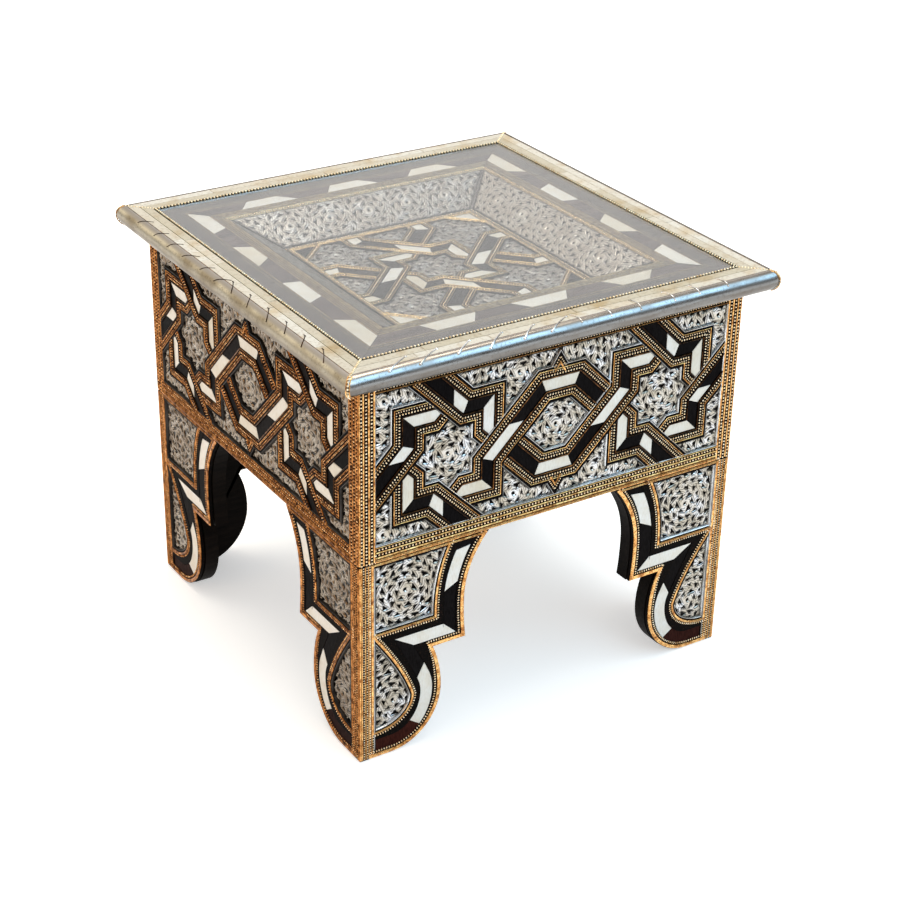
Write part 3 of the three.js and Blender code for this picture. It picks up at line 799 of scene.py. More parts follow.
# The left side's beads and strips: their colours are painted warm light and shade for that side.
LEFT_WARM_LIT_BEADS = make_brass("beaded_brass_left_painted_light", "#FFD49C", "#CC8850", "#54341C", 0.22, 0.5, 5, depth=0.5)
LEFT_WARM_LIT_STRIPS = make_brass("brass_strip_left_painted_light", "#DC9858", "#A86C3A", "#54321A", 0.3, 0.5, 7, (1, 1, 2.0))
ROPE_BRASS = make_brass("twisted_brass_wire", "#FFF6DC", "#F6DDB0", "#9A754A", 0.4, 0.44, 4, depth=0.2)
COPPER_WIRE = make_brass("gilding_metal_wire", "#94633A", "#644226", "#281C12", 0.32, 0.5, shaded=True)
REPOUSSE = make_repousse("nickel_silver_repousse", "#AFA799", "#C2BCB3", "#D0D1D4")
# The left side's embossed sheet: a darker copy, painted shade for that side.
LEFT_SHADED_REPOUSSE = make_repousse("nickel_silver_repousse_left_painted_shade", "#7C6C5C", "#8A7C6C", "#9A9084")
TRAY_REPOUSSE = make_repousse("nickel_silver_repousse_dull", "#98918A", "#A29E99", "#ACACAC", 0.38)
# The tray's right wall: a lighter copy, painted light on that wall.
RIGHT_WALL_LIT_REPOUSSE = make_repousse("nickel_silver_repousse_right_painted_light", "#C2B6AA", "#CCC2B8", "#D2CCC4", 0.4)
TARNISHED = make_nickel_silver("nickel_silver_tarnished", "#75706C", "#4A4540", 0.35, 8, 0.2)
# The left side's edging: a near-black copy, painted shade for that side.
LEFT_SHADED_EDGING = make_nickel_silver("nickel_silver_left_painted_shade", "#3A3633", "#1C1917", 0.3, 8, 0.2)
SILVER_WIRE = make_nickel_silver("nickel_silver_wire", "#E6EAEE", "#B4B0AA", 0.16, 4, 0.1, shaded=True)
NOSE_SILVER = make_nickel_silver("nickel_silver_polished", "#C8D0D6", "#AAABAC", 0.2, 26, 0.35,
                                 shade_span=(RIM_UNDERSIDE + 4, RIM_UNDERSIDE + 19))
# The left side's nose: its beige colour is a painted reflection of a warm wall.
LEFT_NOSE_WALL_REFLECTION = make_nickel_silver("nickel_silver_left_painted_reflection", "#D2CAB6", "#A29680", 0.34, 14, 0.35,
                               shade_span=(RIM_UNDERSIDE + 3, RIM_UNDERSIDE + 17))
DARK_WOOD = make_wood("stained_cedar", "#0A0807", "#130E0B", "#1C1510", 5, 0.5, shine=0.05)
WALNUT = make_wood("waxed_walnut", "#332B28", "#4C413C", "#62554E", 4, 0.42)
FRIEZE_WOOD = make_wood("waxed_rosewood", "#33262A", "#503E3C", "#6A544E", 9, 0.42)
GLASS = make_glass()
# Embossed sheet, beads, strips and edging of a side. The left side's are copies in other colours: painted
# warm light and shade for that side.
FRONT_METALS = (REPOUSSE, BEAD_BRASS, STRIP_BRASS, SILVER_WIRE)
SIDE_METALS = {"left": (LEFT_SHADED_REPOUSSE, LEFT_WARM_LIT_BEADS, LEFT_WARM_LIT_STRIPS, LEFT_SHADED_EDGING)}


# The slot of each kind of parts
PART_SLOTS = {"bone_plates": "camel_bone", "ebony_plates": "dark_wood", "dark_plates": "dark_wood",
              "copper_wires": "brass_wire", "brass_strips": "brass_wire", "strips": "brass_wire",
              "silver_wires": "polished_nickel_silver"}


def make_inlay(name, place, turns, beads, **kinds):
    """The pieces of a face, named by their kind, from the parts and material of each, and its beads."""
    for kind, (parts, material) in kinds.items():
        make_parts(name.format(kind), parts, place, turns, material, PART_SLOTS[kind])
    if beads:
        points, faces = beads.mesh()
        make_piece(name.format("beads"), turned(place(points), turns), faces, beads.material, "brass_wire",
                   smooth=SOFT_ANGLE)


# Strapwork

def star_run(half, place, turns):
    bend = half * (ROOT2 - 1)
    return [(u + place, v) for u, v in
            (quarter_turned(point, turns) for point in ((bend, half), (half, half), (half, -bend)))]


def star_outline(half, strap_width, place, inset=0.0):
    """The eight-pointed silver field of a star, or a line round it, further out by inset."""
    inner = half - strap_width / 2
    reach = inner * ROOT2 + inset * ROOT2
    side = inner + inset
    notch = reach - side
    points = []
    for turns in range(4):
        points += [quarter_turned((reach, 0), turns), quarter_turned((side, notch), turns),
                   quarter_turned((side, side), turns), quarter_turned((notch, side), turns)]
    return [(u + place, v) for u, v in points]


class Strap:
    """One strap of a star: it comes in along a diagonal to a turn, runs to a corner, turns down the
    next side and ends, pointed, under the following strap."""

    def __init__(self, lead, half, width, place, turns, start):
        self.line = [*lead, *star_run(half, place, turns)]
        self.half, self.width, self.place, self.turns = half, width, place, turns
        self.start = start
        normal = quarter_turned((ROOT_HALF, -ROOT_HALF), turns)
        self.end = (normal, half - width / 2 + normal[0] * place)

    def local(self, point):
        u, v = quarter_turned(point, self.turns)
        return (u + self.place, v)

    def outer_row(self, offset):
        return offset_line(self.line, offset, self.start, self.end)

    def inner_row(self, offset):
        """A row on the star's side, which bends along the point of the star's field at its end."""
        inset = self.width / 2 - offset
        inner = self.half - self.width / 2
        row = offset_line(self.line, -offset, self.start)[:-1]
        reach = inner * ROOT2 + inset * ROOT2
        bend = self.local((inner + inset, reach - inner - inset))
        tip = self.local((inner * ROOT2 + inset * ROOT_HALF, inset * ROOT_HALF))
        return np.vstack([row, [bend], [tip]])

    def end_plate(self, half_width, gap):
        """The outline of the plate between the corner and the pointed end."""
        inner = self.half - self.width / 2
        outer_edge, inner_edge = self.half + half_width, self.half - half_width
        inset = self.width / 2 - half_width
        first = inner * ROOT2 - gap * ROOT2
        second = inner * ROOT2 + (inset + gap) * ROOT2
        points = [(outer_edge, outer_edge - gap), (outer_edge, outer_edge - first),
                  ((first + second) / 2, (second - first) / 2), (inner_edge, second - inner_edge),
                  (inner_edge, inner_edge - gap)]
        return [self.local(point) for point in points]


def apron_straps():
    reach = STAR_HALF * ROOT2
    bend = STAR_HALF * (ROOT2 - 1)
    turn = STAR_OFFSET - reach - STAR_HALF
    level_end = HEXAGON_SHORT_SIDE - turn
    fall = (level_end + STAR_HALF + reach - STAR_OFFSET) / 2
    hexagon = [(level_end + STAR_HALF - fall, fall), (level_end, STAR_HALF), (-turn, STAR_HALF)]
    edges = [APRON_TOP - TOP_BORDER - PATTERN_MID, BODY_HALF - CORNER_BAND,
             PATTERN_MID - APRON_BOTTOM - BOTTOM_BORDER, BODY_HALF - CORNER_BAND]
    straps = []
    for side in (-1, 1):
        for turns in range(4):
            place = side * STAR_OFFSET
            if turns == (3 if side < 0 else 1):
                lead = [(-side * u, -side * v) for u, v in hexagon]
                normal = (-side * ROOT_HALF, side * ROOT_HALF)
                start = (normal, (STAR_OFFSET - reach) * ROOT_HALF - STRAP_WIDTH / 2)
            else:
                u, v = quarter_turned((bend - BODY_HALF, STAR_HALF + BODY_HALF), turns)
                lead = [(u + place, v)]
                start = (quarter_turned((0, 1), turns), edges[turns])
            straps.append(Strap(lead, STAR_HALF, STRAP_WIDTH, place, turns, start))
    return straps


def tray_straps():
    edge = TRAY_STRAPWORK_HALF - TRAY_BORDER
    diagonal = TRAY_STAR_HALF * ROOT2
    arm_turn = diagonal + TRAY_END_OFFSET
    straps, beside = [], []
    for turns in range(4):
        lead = [quarter_turned(p, turns) for p in ((-TRAY_END_OFFSET, edge), (-TRAY_END_OFFSET, arm_turn))]
        straps.append(Strap(lead, TRAY_STAR_HALF, TRAY_STRAP_WIDTH, 0, turns, None))
        line = [quarter_turned(p, turns) for p in
                ((0, diagonal), (TRAY_END_OFFSET, arm_turn), (TRAY_END_OFFSET, edge))]
        cut = (quarter_turned((ROOT_HALF, ROOT_HALF), turns), TRAY_STAR_HALF + TRAY_STRAP_WIDTH / 2)
        beside.append((line, cut))
    return straps, beside


# Shades of plain ebony plates, without the red-brown ones
DARK_SHADES = (0.0, 0.7)


def lay_strap_plates(strap, half_width, bone_start, bones, ebonies, heights, rng, bone_runs=()):
    """Bone on the end of the diagonal and from the corner to the strap's end, and ebony between.
    The runs before the diagonal are ebony too, but for those in bone_runs."""
    bottom, top = heights
    line, turn = strap.line, len(strap.line) - 3
    normal = quarter_turned((1, 0), strap.turns)
    bone_cut = (normal, bone_start + normal[0] * strap.place)
    at_turn = mitre_cut(line, turn)
    at_corner = mitre_cut(line, turn + 1)
    diagonal = line[turn - 1:turn + 1]
    run = line[turn:turn + 2]

    def plate(parts, outline, shade):
        parts.add_prism(outline, bottom, top, INLAY_BEVEL, shade)

    def dark():
        return rng.uniform(*DARK_SHADES)

    plate(bones, band_outline(diagonal, half_width, moved_cut(bone_cut, JOINT_GAP),
                              moved_cut(at_turn, -JOINT_GAP)), rng.random())
    plate(ebonies, band_outline(run, half_width, moved_cut(at_turn, JOINT_GAP),
                                moved_cut(at_corner, -JOINT_GAP)), dark())
    plate(bones, strap.end_plate(half_width, JOINT_GAP), rng.random())
    ends = [strap.start] + [mitre_cut(line, i) for i in range(1, turn)] + [bone_cut]
    for i in range(turn):
        piece = line[i:i + 2]
        start = moved_cut(ends[i], JOINT_GAP) if ends[i] else None
        outline = band_outline(piece, half_width, start, moved_cut(ends[i + 1], -JOINT_GAP))
        parts = bones if i in bone_runs else ebonies
        plate(parts, outline, rng.random() if parts is bones else dark())


# Seeds of the random draws, one for each side and leg face beyond these
APRON_SEED, LEG_SEED, RIM_SEED, FRIEZE_SEED, TRAY_SEED = 40, 90, 70, 20, 9
# What edges a strap: offset from its middle, width and height. The copper is brighter along the hexagon.
COPPER_SHADES = {True: 1.0, False: 0.25}
STRAP_COPPER = (7.1, 1.3, 1.0)
STRAP_BEAD_OFFSETS = (10.3, 13.5)
STRAP_GOLD = (15.6, 1.0, 0.9)
STRAP_EDGING = 18.9
PEAK_GOLD = (12.4, 1.8, 1.2)
PEAK_BEAD_SHIFT = 2.0
PEAK_LIFT = 0.15


def dress_apron(turns):
    side = SIDES[turns]
    _, bead_metal, strip_metal, edge_metal = SIDE_METALS.get(side, FRONT_METALS)
    rng = np.random.default_rng(APRON_SEED + turns)
    straps = apron_straps()
    bones, ebonies, copper, strips, edges = [Parts() for _ in range(5)]
    beads = BeadRows(bead_metal)
    half_width = CHANNEL_WIDTH / 2 - INLAY_CLEARANCE
    for strap in straps:
        joined = len(strap.line) > 4
        lay_strap_plates(strap, half_width, HEXAGON_BONE_START if joined else APRON_BONE_START,
                         bones, ebonies, PLATE_HEIGHTS, rng, {1} if joined else ())
        for row, way in ((strap.outer_row, 1), (strap.inner_row, -1)):
            for parts, (offset, width, height) in ((copper, STRAP_COPPER), (strips, STRAP_GOLD)):
                parts.add_wire(row(offset), width, height, shade=COPPER_SHADES[joined])
            edges.add_edging(row(STRAP_EDGING), way=way)
            beads.add(row(STRAP_BEAD_OFFSETS[0]), "bar")
            beads.add(row(STRAP_BEAD_OFFSETS[1]), "fine")
    lay_peaks(edges, beads, strips)
    lay_apron_border(strips, edges, beads)
    place = on_side(BODY_HALF)

    def lifted(points):
        return place(points + (0, PATTERN_MID, 0))

    make_inlay("apron_{}_" + side, lifted, turns, beads, bone_plates=(bones, BONE),
               ebony_plates=(ebonies, EBONY), copper_wires=(copper, COPPER_WIRE),
               brass_strips=(strips, strip_metal), silver_wires=(edges, edge_metal))


def peak_row(side, offset):
    """A row of the edging at a peak, offset from the strap's middle, from one of its feet over its tip."""
    edge = STAR_HALF + STRAP_WIDTH / 2
    inset = STRAP_WIDTH / 2 - offset
    slope = (edge + PEAK_HEIGHT - STAR_HALF) / (PEAK_WIDTH / 2)
    foot = PEAK_HEIGHT / slope
    line = [(-PEAK_WIDTH, edge), (-foot, edge), (0, edge + PEAK_HEIGHT), (foot, edge), (PEAK_WIDTH, edge)]
    return [(u, side * v) for u, v in offset_line(line, -inset)[1:-1]]


def lay_peaks(edges, beads, strips):
    """Silver, beads and gold go up and over each peak, and the strap's own rows run on below it."""
    for side in (-1, 1):
        edges.add_edging(peak_row(side, STRAP_EDGING), way=side, lift=PEAK_LIFT)
        offset, width, height = PEAK_GOLD
        strips.add_wire(peak_row(side, offset), width, height, base=PEAK_LIFT)
        beads.add(peak_row(side, STRAP_BEAD_OFFSETS[1] + PEAK_BEAD_SHIFT), "round")


# Rows beside the apron's edges: strips (distance in, width, height) and beads (distance in, kind)
UPRIGHT_STRIPS = ((0.8, 1.2, 1.0), (5.0, 1.7, 1.0), (10.9, 2.0, 1.0), (16.6, 2.0, 1.0))
UPRIGHT_BEADS = ((2.7, "small"), (7.9, "small"), (13.8, "small"))
UPRIGHT_END_GAP = 1.6
TOP_STRIPS = ((3.4, 3.4, 0.7), (13.0, 1.3, 1.2))
TOP_BEADS = ((10.3, "bar"),)
BOTTOM_STRIPS = ((2.1, 3.4, 1.5), (5.5, 2.0, 1.6), (11.1, 1.7, 1.5), (16.3, 1.0, 1.0))
BOTTOM_BEADS = ((8.4, "small"), (13.9, "small"))
EDGING_LAP = 0.1


def lay_rows(line_at, strip_rows, bead_rows, strips, beads):
    """Strips and rows of beads along the lines that line_at gives for their distances."""
    for distance, kind in bead_rows:
        beads.add(line_at(distance), kind)
    for distance, width, height in strip_rows:
        strips.add_wire(line_at(distance), width, height)


def lay_apron_border(strips, edges, beads):
    bottom, top = APRON_BOTTOM - PATTERN_MID, APRON_TOP - PATTERN_MID
    field_half = BODY_HALF - CORNER_BAND
    for end in (-1, 1):
        def upright(inset):
            u = end * (BODY_HALF - inset)
            return [(u, bottom + UPRIGHT_END_GAP), (u, top - UPRIGHT_END_GAP)]
        lay_rows(upright, UPRIGHT_STRIPS, UPRIGHT_BEADS, strips, beads)
        edges.add_edging([(end * (field_half + EDGING_LAP), bottom + BOTTOM_BORDER),
                          (end * (field_half + EDGING_LAP), top - TOP_BORDER)], way=end)

    def level_line(height):
        return [(-field_half, height), (field_half, height)]
    lay_rows(lambda inset: level_line(top - inset), TOP_STRIPS, TOP_BEADS, strips, beads)
    lay_rows(lambda inset: level_line(bottom + inset), BOTTOM_STRIPS, BOTTOM_BEADS, strips, beads)
    edges.add_edging(level_line(bottom + BOTTOM_BORDER - EDGING_LAP))


# Embossed sheets

def spread_labels(mask):
    """Numbers each separate patch of a mask."""
    labels = np.where(mask, np.arange(mask.size).reshape(mask.shape) + 1, 0)
    while True:
        padded = np.pad(labels, 1)
        grown = np.maximum.reduce([padded[1:-1, 1:-1], padded[:-2, 1:-1], padded[2:, 1:-1],
                                   padded[1:-1, :-2], padded[1:-1, 2:]])
        grown = np.where(mask, grown, 0)
        if (grown == labels).all():
            return labels
        labels = grown


# Rosettes: rings of straight strands that cross like a wreath's, with a triangular pit in each bundle
ROSETTE_BOSS, ROSETTE_RING, BUNDLE_PITCH = 5.6, 8.2, 10.0
BOSS_RING_RADIUS, BOSS_RING_HALF, BOSS_HOLE = 3.8, 2.0, 1.8
SWAY, SWAY_LENGTH = 1.0, 9.0
LEAST_BUNDLES = 5
RING_TURN = 0.37
STRAND_TILT, TILT_SPREAD = 0.42, 0.5
STRAND_PITCH, STRAND_RISE = 2.7, 0.28
RING_DIP = 0.4
PIT_WIDTH, PIT_LENGTH, PIT_EDGE, PIT_BANK = 4.3, 8.6, 0.4, 1.2
LEAST_PIT_SHARE, PIT_SPREAD = 0.75, 0.4
PIT_BASE_SHARE = 0.35
BOSS_FLOOR_SHARE = 0.1
# Large odd factors that turn a bundle's number, its ring and the phase into a chance from 0 to 1
CHANCE_FACTORS, CHANCE_SPREAD = (12.9898, 78.233, 37.7), 43758.5453


def rosette(du, dv, phase):
    """The height of a rosette from 0 to 1, how far inside a pit each place is, and how high it stands on
    its strand from 0 to 1."""
    u = du + SWAY * np.sin(dv / SWAY_LENGTH + phase)
    v = dv + SWAY * np.sin(du / SWAY_LENGTH + 2 * phase)
    radius = np.hypot(u, v)
    ring = np.maximum(np.floor((radius - ROSETTE_BOSS) / ROSETTE_RING), 0)
    middle = ROSETTE_BOSS + (ring + 0.5) * ROSETTE_RING
    count = np.maximum(LEAST_BUNDLES, np.round(2 * np.pi * middle / BUNDLE_PITCH))
    first = RING_TURN * ring + phase
    bundle = np.round(np.arctan2(v, u) * count / (2 * np.pi) + first)
    angle = (bundle - first) * 2 * np.pi / count
    by_bundle, by_ring, by_phase = CHANCE_FACTORS
    chance = np.sin((bundle % count) * by_bundle + ring * by_ring + phase * by_phase) * CHANCE_SPREAD
    chance -= np.floor(chance)
    x = v * np.cos(angle) - u * np.sin(angle)
    y = u * np.cos(angle) + v * np.sin(angle) - middle
    tilt = np.where(ring % 2 == 0, STRAND_TILT, -STRAND_TILT) + (chance - 0.5) * TILT_SPREAD
    along = x * np.cos(tilt) - y * np.sin(tilt)
    across = x * np.sin(tilt) + y * np.cos(tilt)
    strand = 0.5 - 0.5 * np.cos(2 * np.pi * across / STRAND_PITCH)
    size = LEAST_PIT_SHARE + PIT_SPREAD * chance
    from_base = np.where(chance * 10 % 1 > 0.5, across, -across) + PIT_WIDTH * size * PIT_BASE_SHARE
    from_side = (PIT_LENGTH * (size - from_base / PIT_WIDTH) / 2 - np.abs(along)) * ROOT_HALF
    inside = np.minimum(from_base, from_side)
    height = 1 - RING_DIP * (2 * y / ROSETTE_RING) ** 2
    boss = radius < ROSETTE_BOSS
    dome = np.clip(1 - ((radius - BOSS_RING_RADIUS) / BOSS_RING_HALF) ** 2, 0, 1)
    boss_height = BOSS_FLOOR_SHARE + (1 - BOSS_FLOOR_SHARE) * np.sqrt(dome)
    return (np.where(boss, boss_height, height), np.where(boss, BOSS_HOLE - radius, inside),
            np.where(boss, 1.0, strand))


PILLOW_RISE, PILLOW_RUN, LEAF_RISE, EDGE_RISE = 0.7, 6.0, 1.3, 0.6
# Width of the dark groove at a field's edge, and how bright it is
EDGE_GROOVE, GROOVE_SHARE = 0.4, 0.2
# How bright the painted shade leaves the silver at a field's edge, and how far in that shade reaches
LEAST_LIT_MARGIN_SHARE, MARGIN_SHADE_RUN = 0.45, 3.6
# Slow hollows and swells over the whole sheet
SWELL_RISE, SWELL_LENGTHS = 0.7, (5.3, 4.7)


def emboss(name, box, clearance, place, turns, material=REPOUSSE, cell=RELIEF_CELL, phase=0.0, bands=0,
           pillow=PILLOW_RISE, leaf_rise=LEAF_RISE, swell_rise=SWELL_RISE, shrink=0.0):
    """An embossed sheet over each point of a box whose clearance, its distance in from an edge, is above 0.
    Each separate field has its rosette at its widest place, or the box has rows of them in bands."""
    left, bottom, right, top = box
    columns, rows = int((right - left) / cell) + 1, int((top - bottom) / cell) + 1
    u, v = np.meshgrid(np.linspace(left, right, columns), np.linspace(bottom, top, rows))
    flat = np.column_stack([u.ravel(), v.ravel()])
    room = clearance(flat).reshape(u.shape)
    if bands:
        spacing = (top - bottom) / bands
        band = np.clip(np.floor((v - bottom) / spacing), 0, bands - 1)
        centre_v = bottom + (band + 0.5) * spacing
        stagger = spacing / 2 * (band % 2)
        centre_u = np.round((u - stagger) / spacing) * spacing + stagger
    else:
        labels = spread_labels(room > 0)
        centre_u, centre_v = np.zeros_like(u), np.zeros_like(v)
        for label in np.unique(labels[labels > 0]):
            patch = labels == label
            best = np.argmax(np.where(patch, room, -1))
            centre_u[patch], centre_v[patch] = u.flat[best], v.flat[best]
    height, inside_pit, strand = rosette(u - centre_u, v - centre_v, phase)
    inside_pit = inside_pit - shrink
    pit = np.clip(inside_pit / PIT_EDGE + 0.5, 0, 1)
    bank = np.clip(inside_pit / PIT_BANK + 1, 0, 1)
    inside = np.clip(room / PILLOW_RUN, 0, 1)
    raised = pillow * np.sin(inside * np.pi / 2)
    across, upward = SWELL_LENGTHS
    swell = swell_rise * inside * np.sin(u / across + phase) * np.sin(v / upward - phase)
    leaf = (leaf_rise * height + STRAND_RISE * strand) * (1 - bank)
    rise = np.where(room > 0, EDGE_RISE + raised + swell + leaf, 0.0)
    # Painted shade along each field's edge, beside the raised strapwork.
    edge_shade = LEAST_LIT_MARGIN_SHARE + (1 - LEAST_LIT_MARGIN_SHARE) * np.clip(room / MARGIN_SHADE_RUN, 0, 1)
    bright = np.where(room < EDGE_GROOVE, GROOVE_SHARE, (1 - pit) * edge_shade)
    keep = room > 0
    cells = keep[:-1, :-1] | keep[1:, :-1] | keep[:-1, 1:] | keep[1:, 1:]
    index = np.arange(u.size).reshape(u.shape)
    quads = np.stack([index[:-1, :-1], index[:-1, 1:], index[1:, 1:], index[1:, :-1]], axis=-1)[cells]
    used, faces = np.unique(quads, return_inverse=True)
    faces = faces.reshape(quads.shape)
    points = np.column_stack([flat[used], rise.ravel()[used]])
    piece = make_piece(name, turned(place(points), turns), faces.tolist(), material,
                       "nickel_silver_repousse", smooth=SOFT_ANGLE)
    for layer_name, values in (("relief", bright), ("strand", strand)):
        layer = piece.data.attributes.new(layer_name, "FLOAT", "POINT")
        layer.data.foreach_set("value", values.ravel()[used].astype(np.float32))


def field_clearance(outlines, stars, box):
    """How far points lie inside the fields that the straps' outlines leave open."""
    def clearance(points):
        room = np.full(len(points), np.inf)
        for outline in outlines:
            room = np.minimum(room, -outline_clearance(points, outline))
        for star in stars:
            room = np.maximum(room, outline_clearance(points, star))
        return np.minimum(room, outline_clearance(points, rectangle(*box)))
    return clearance


def apron_clearance():
    straps = apron_straps()
    outlines = [band_outline(s.line, STRAP_WIDTH / 2, s.start, s.end) for s in straps]
    for side in (-1, 1):
        outlines.append([(-PEAK_WIDTH / 2, side * STAR_HALF), (PEAK_WIDTH / 2, side * STAR_HALF),
                         (0, side * (STAR_HALF + STRAP_WIDTH / 2 + PEAK_HEIGHT))])
    stars = [star_outline(STAR_HALF, STRAP_WIDTH, side * STAR_OFFSET) for side in (-1, 1)]
    return field_clearance(outlines, stars, APRON_FIELD)


APRON_FIELD = (CORNER_BAND - BODY_HALF, APRON_BOTTOM + BOTTOM_BORDER - PATTERN_MID,
               BODY_HALF - CORNER_BAND, APRON_TOP - TOP_BORDER - PATTERN_MID)


# Legs

def arch_reach(height):
    if height > WAIST_HEIGHT:
        share = (height - WAIST_HEIGHT) / (LEG_HEIGHT - WAIST_HEIGHT)
        return WAIST_REACH + (LEG_REACH - WAIST_REACH) * share ** ARCH_POWER
    share = (WAIST_HEIGHT - height) / (WAIST_HEIGHT - TIP_HEIGHT)
    return WAIST_REACH + (TIP_REACH - WAIST_REACH) * share ** 2


def arch_inset(height, inset):
    step = FIT_GAP
    slope = (arch_reach(height + step) - arch_reach(height - step)) / (2 * step)
    return arch_reach(height) - inset * math.hypot(1, slope)


def leg_edge(inset):
    """The free edge of a leg from its foot to the seam, moved in by inset."""
    mid = (FOOT_FLAT, BULB_MID)
    width = BULB_REACH - FOOT_FLAT - inset
    rise = (TIP_HEIGHT + inset - BULB_MID) / SHOULDER_RISE_SHARE
    foot = ellipse_arc(mid, width, BULB_MID - inset, -math.pi / 2, 0, CURVE_STEPS)
    shoulder = ellipse_arc(mid, width, rise, 0, math.asin(SHOULDER_RISE_SHARE), CURVE_STEPS // 2)
    heights = np.linspace(TIP_HEIGHT + inset, LEG_HEIGHT, CURVE_STEPS + 1)
    return [*foot, *shoulder[1:], *[(arch_inset(h, inset), h) for h in heights]]


def upper_field():
    bottom, top = TIP_HEIGHT + UPPER_FIELD_RISE, LEG_HEIGHT - LEG_TOP_BORDER
    side = [(arch_inset(h, LEG_BAND), h) for h in np.linspace(bottom, top, CURVE_STEPS // 2)]
    return [(CORNER_BAND, top), (CORNER_BAND, bottom), *side]


def lower_field():
    reach = BULB_REACH - LEG_BAND
    rise = BULB_MID - LEG_BAND_LOW
    middle = (CORNER_BAND, BULB_MID)
    foot = ellipse_arc(middle, reach - CORNER_BAND, rise, -math.pi / 2, 0, CURVE_STEPS // 2)
    apex = TIP_HEIGHT + LOWER_FIELD_RISE
    bend = (reach * TEARDROP_BEND_SHARES[0], BULB_MID + (apex - BULB_MID) * TEARDROP_BEND_SHARES[1])
    side = []
    for t in np.linspace(0, 1, CURVE_STEPS // 2)[1:]:
        weights = ((1 - t) ** 2, 2 * t * (1 - t), t ** 2)
        ends = ((reach, BULB_MID), bend, (CORNER_BAND, apex))
        side.append(tuple(sum(w * p[i] for w, p in zip(weights, ends)) for i in (0, 1)))
    return [*foot, *side]


def leg_channel():
    """The line of the leg's bone and ebony, from the seam down to the foot."""
    level_height = TIP_HEIGHT + LEG_CHANNEL_RISE
    heights = np.linspace(LEG_HEIGHT - LEG_TOP_BORDER, level_height, CURVE_STEPS + 1)
    arch = [(arch_inset(h, LEG_CHANNEL_INSET), h) for h in heights]
    mid = (FOOT_FLAT, BULB_MID)
    reach = BULB_REACH - LEG_CHANNEL_INSET - FOOT_FLAT
    upper = ellipse_arc(mid, reach, LEG_CHANNEL_BULB_RISE, BULB_TURN, 0, CURVE_STEPS // 4)
    lower = ellipse_arc(mid, reach, BULB_MID - LEG_CHANNEL_FOOT_RISE, 0, -math.pi / 2, CURVE_STEPS)
    return [*arch, (LEG_CHANNEL_TURN, level_height), *upper, *lower[1:],
            (CORNER_BAND, LEG_CHANNEL_FOOT_RISE)]


# Joints between bone and ebony: heights near the seam, in the arch and at the foot, and slants in degrees.
# The bulb's bone begins a little above the bulb's first point.
SEAM_JOINT_HEIGHT, ARCH_JOINT_HEIGHT, FOOT_JOINT_HEIGHT = 214, 171, 26
ARCH_JOINT_SLANT, FOOT_JOINT_SLANT = 35, 8
BULB_JOINT_RISE = 5.1
BULB_JOINT_SLANT = 36.6
# Shades of the leg's plates from the seam down to the foot, which is of red-brown wood
LEG_PLATE_SHADES = (0.2, 0.8, 0.3, 0.7, 0.4, 0.6, 1.0)
LEG_SHADE_SPREAD = 0.15
# How far each side's rosettes are turned on from the last one's, and those of the tray's floor from none
LEG_PHASE, APRON_PHASE, WALL_PHASE, TRAY_PHASE = 0.7, 0.5, 1.1, 0.4


def dress_leg(turns, end):
    """One face of a leg. end is -1 at the left of its side and 1 at the right."""
    side = SIDES[turns]
    corner = CORNERS[turns if end < 0 else (turns + 1) % 4]
    name = f"{corner}_{side}_face"
    silver, bead_metal, strip_metal, edge_metal = SIDE_METALS.get(side, FRONT_METALS)
    rng = np.random.default_rng(LEG_SEED + 2 * turns + (end > 0))

    def at_corner(points):
        return [(end * (BODY_HALF - u), v) for u, v in points]

    outline = at_corner([(0, LEG_REVEAL), *leg_edge(LEG_REVEAL), (0, LEG_HEIGHT)])
    fields = [at_corner(upper_field()), at_corner(lower_field())]
    channel = at_corner(band_outline(leg_channel(), LEG_CHANNEL_WIDTH / 2))
    make_plate(f"leg_bed_{name}", outline, [*fields, channel], BODY_HALF, CHANNEL_DEPTH, turns, GROUND,
               "brass_bone_strapwork", [f"leg_strapwork_{name}"])
    under_face = BODY_HALF - CHANNEL_DEPTH
    under = at_corner([(CHANNEL_DEPTH, LEG_REVEAL), *leg_edge(LEG_REVEAL), (CHANNEL_DEPTH, LEG_HEIGHT)])
    make_plate(f"leg_under_bed_{name}", under, fields, under_face, STRAPWORK_THICKNESS - CHANNEL_DEPTH,
               turns, GROUND, "brass_bone_strapwork", [f"leg_strapwork_{name}"])
    board = [(end * BOARD_FACE if u == 0 else end * (BODY_HALF - u), v)
             for u, v in [(0, 0), *leg_edge(0), (0, LEG_HEIGHT)]]
    make_plate(f"leg_wood_{name}", board, [], BOARD_FACE, BOARD_THICKNESS, turns, DARK_WOOD,
               "dark_wood", [f"leg_board_{name}"])

    bones, ebonies, strips, edges = [Parts() for _ in range(4)]
    beads = BeadRows(bead_metal)
    lay_leg_plates(at_corner, bones, ebonies, rng)
    lay_leg_wires(at_corner, strips, edges, beads)
    make_inlay("leg_{}_" + name, on_side(BODY_HALF), turns, beads, bone_plates=(bones, BONE),
               ebony_plates=(ebonies, EBONY), brass_strips=(strips, strip_metal),
               silver_wires=(edges, edge_metal))
    for field_name, field in (("upper", fields[0]), ("lower", fields[1])):
        points = np.array(field)
        box = (*points.min(axis=0), *points.max(axis=0))
        emboss(f"leg_silver_{field_name}_{name}", box,
               lambda flat, field=field: outline_clearance(flat, field), on_side(SHEET_FACE), turns,
               silver, phase=LEG_PHASE * turns + end)


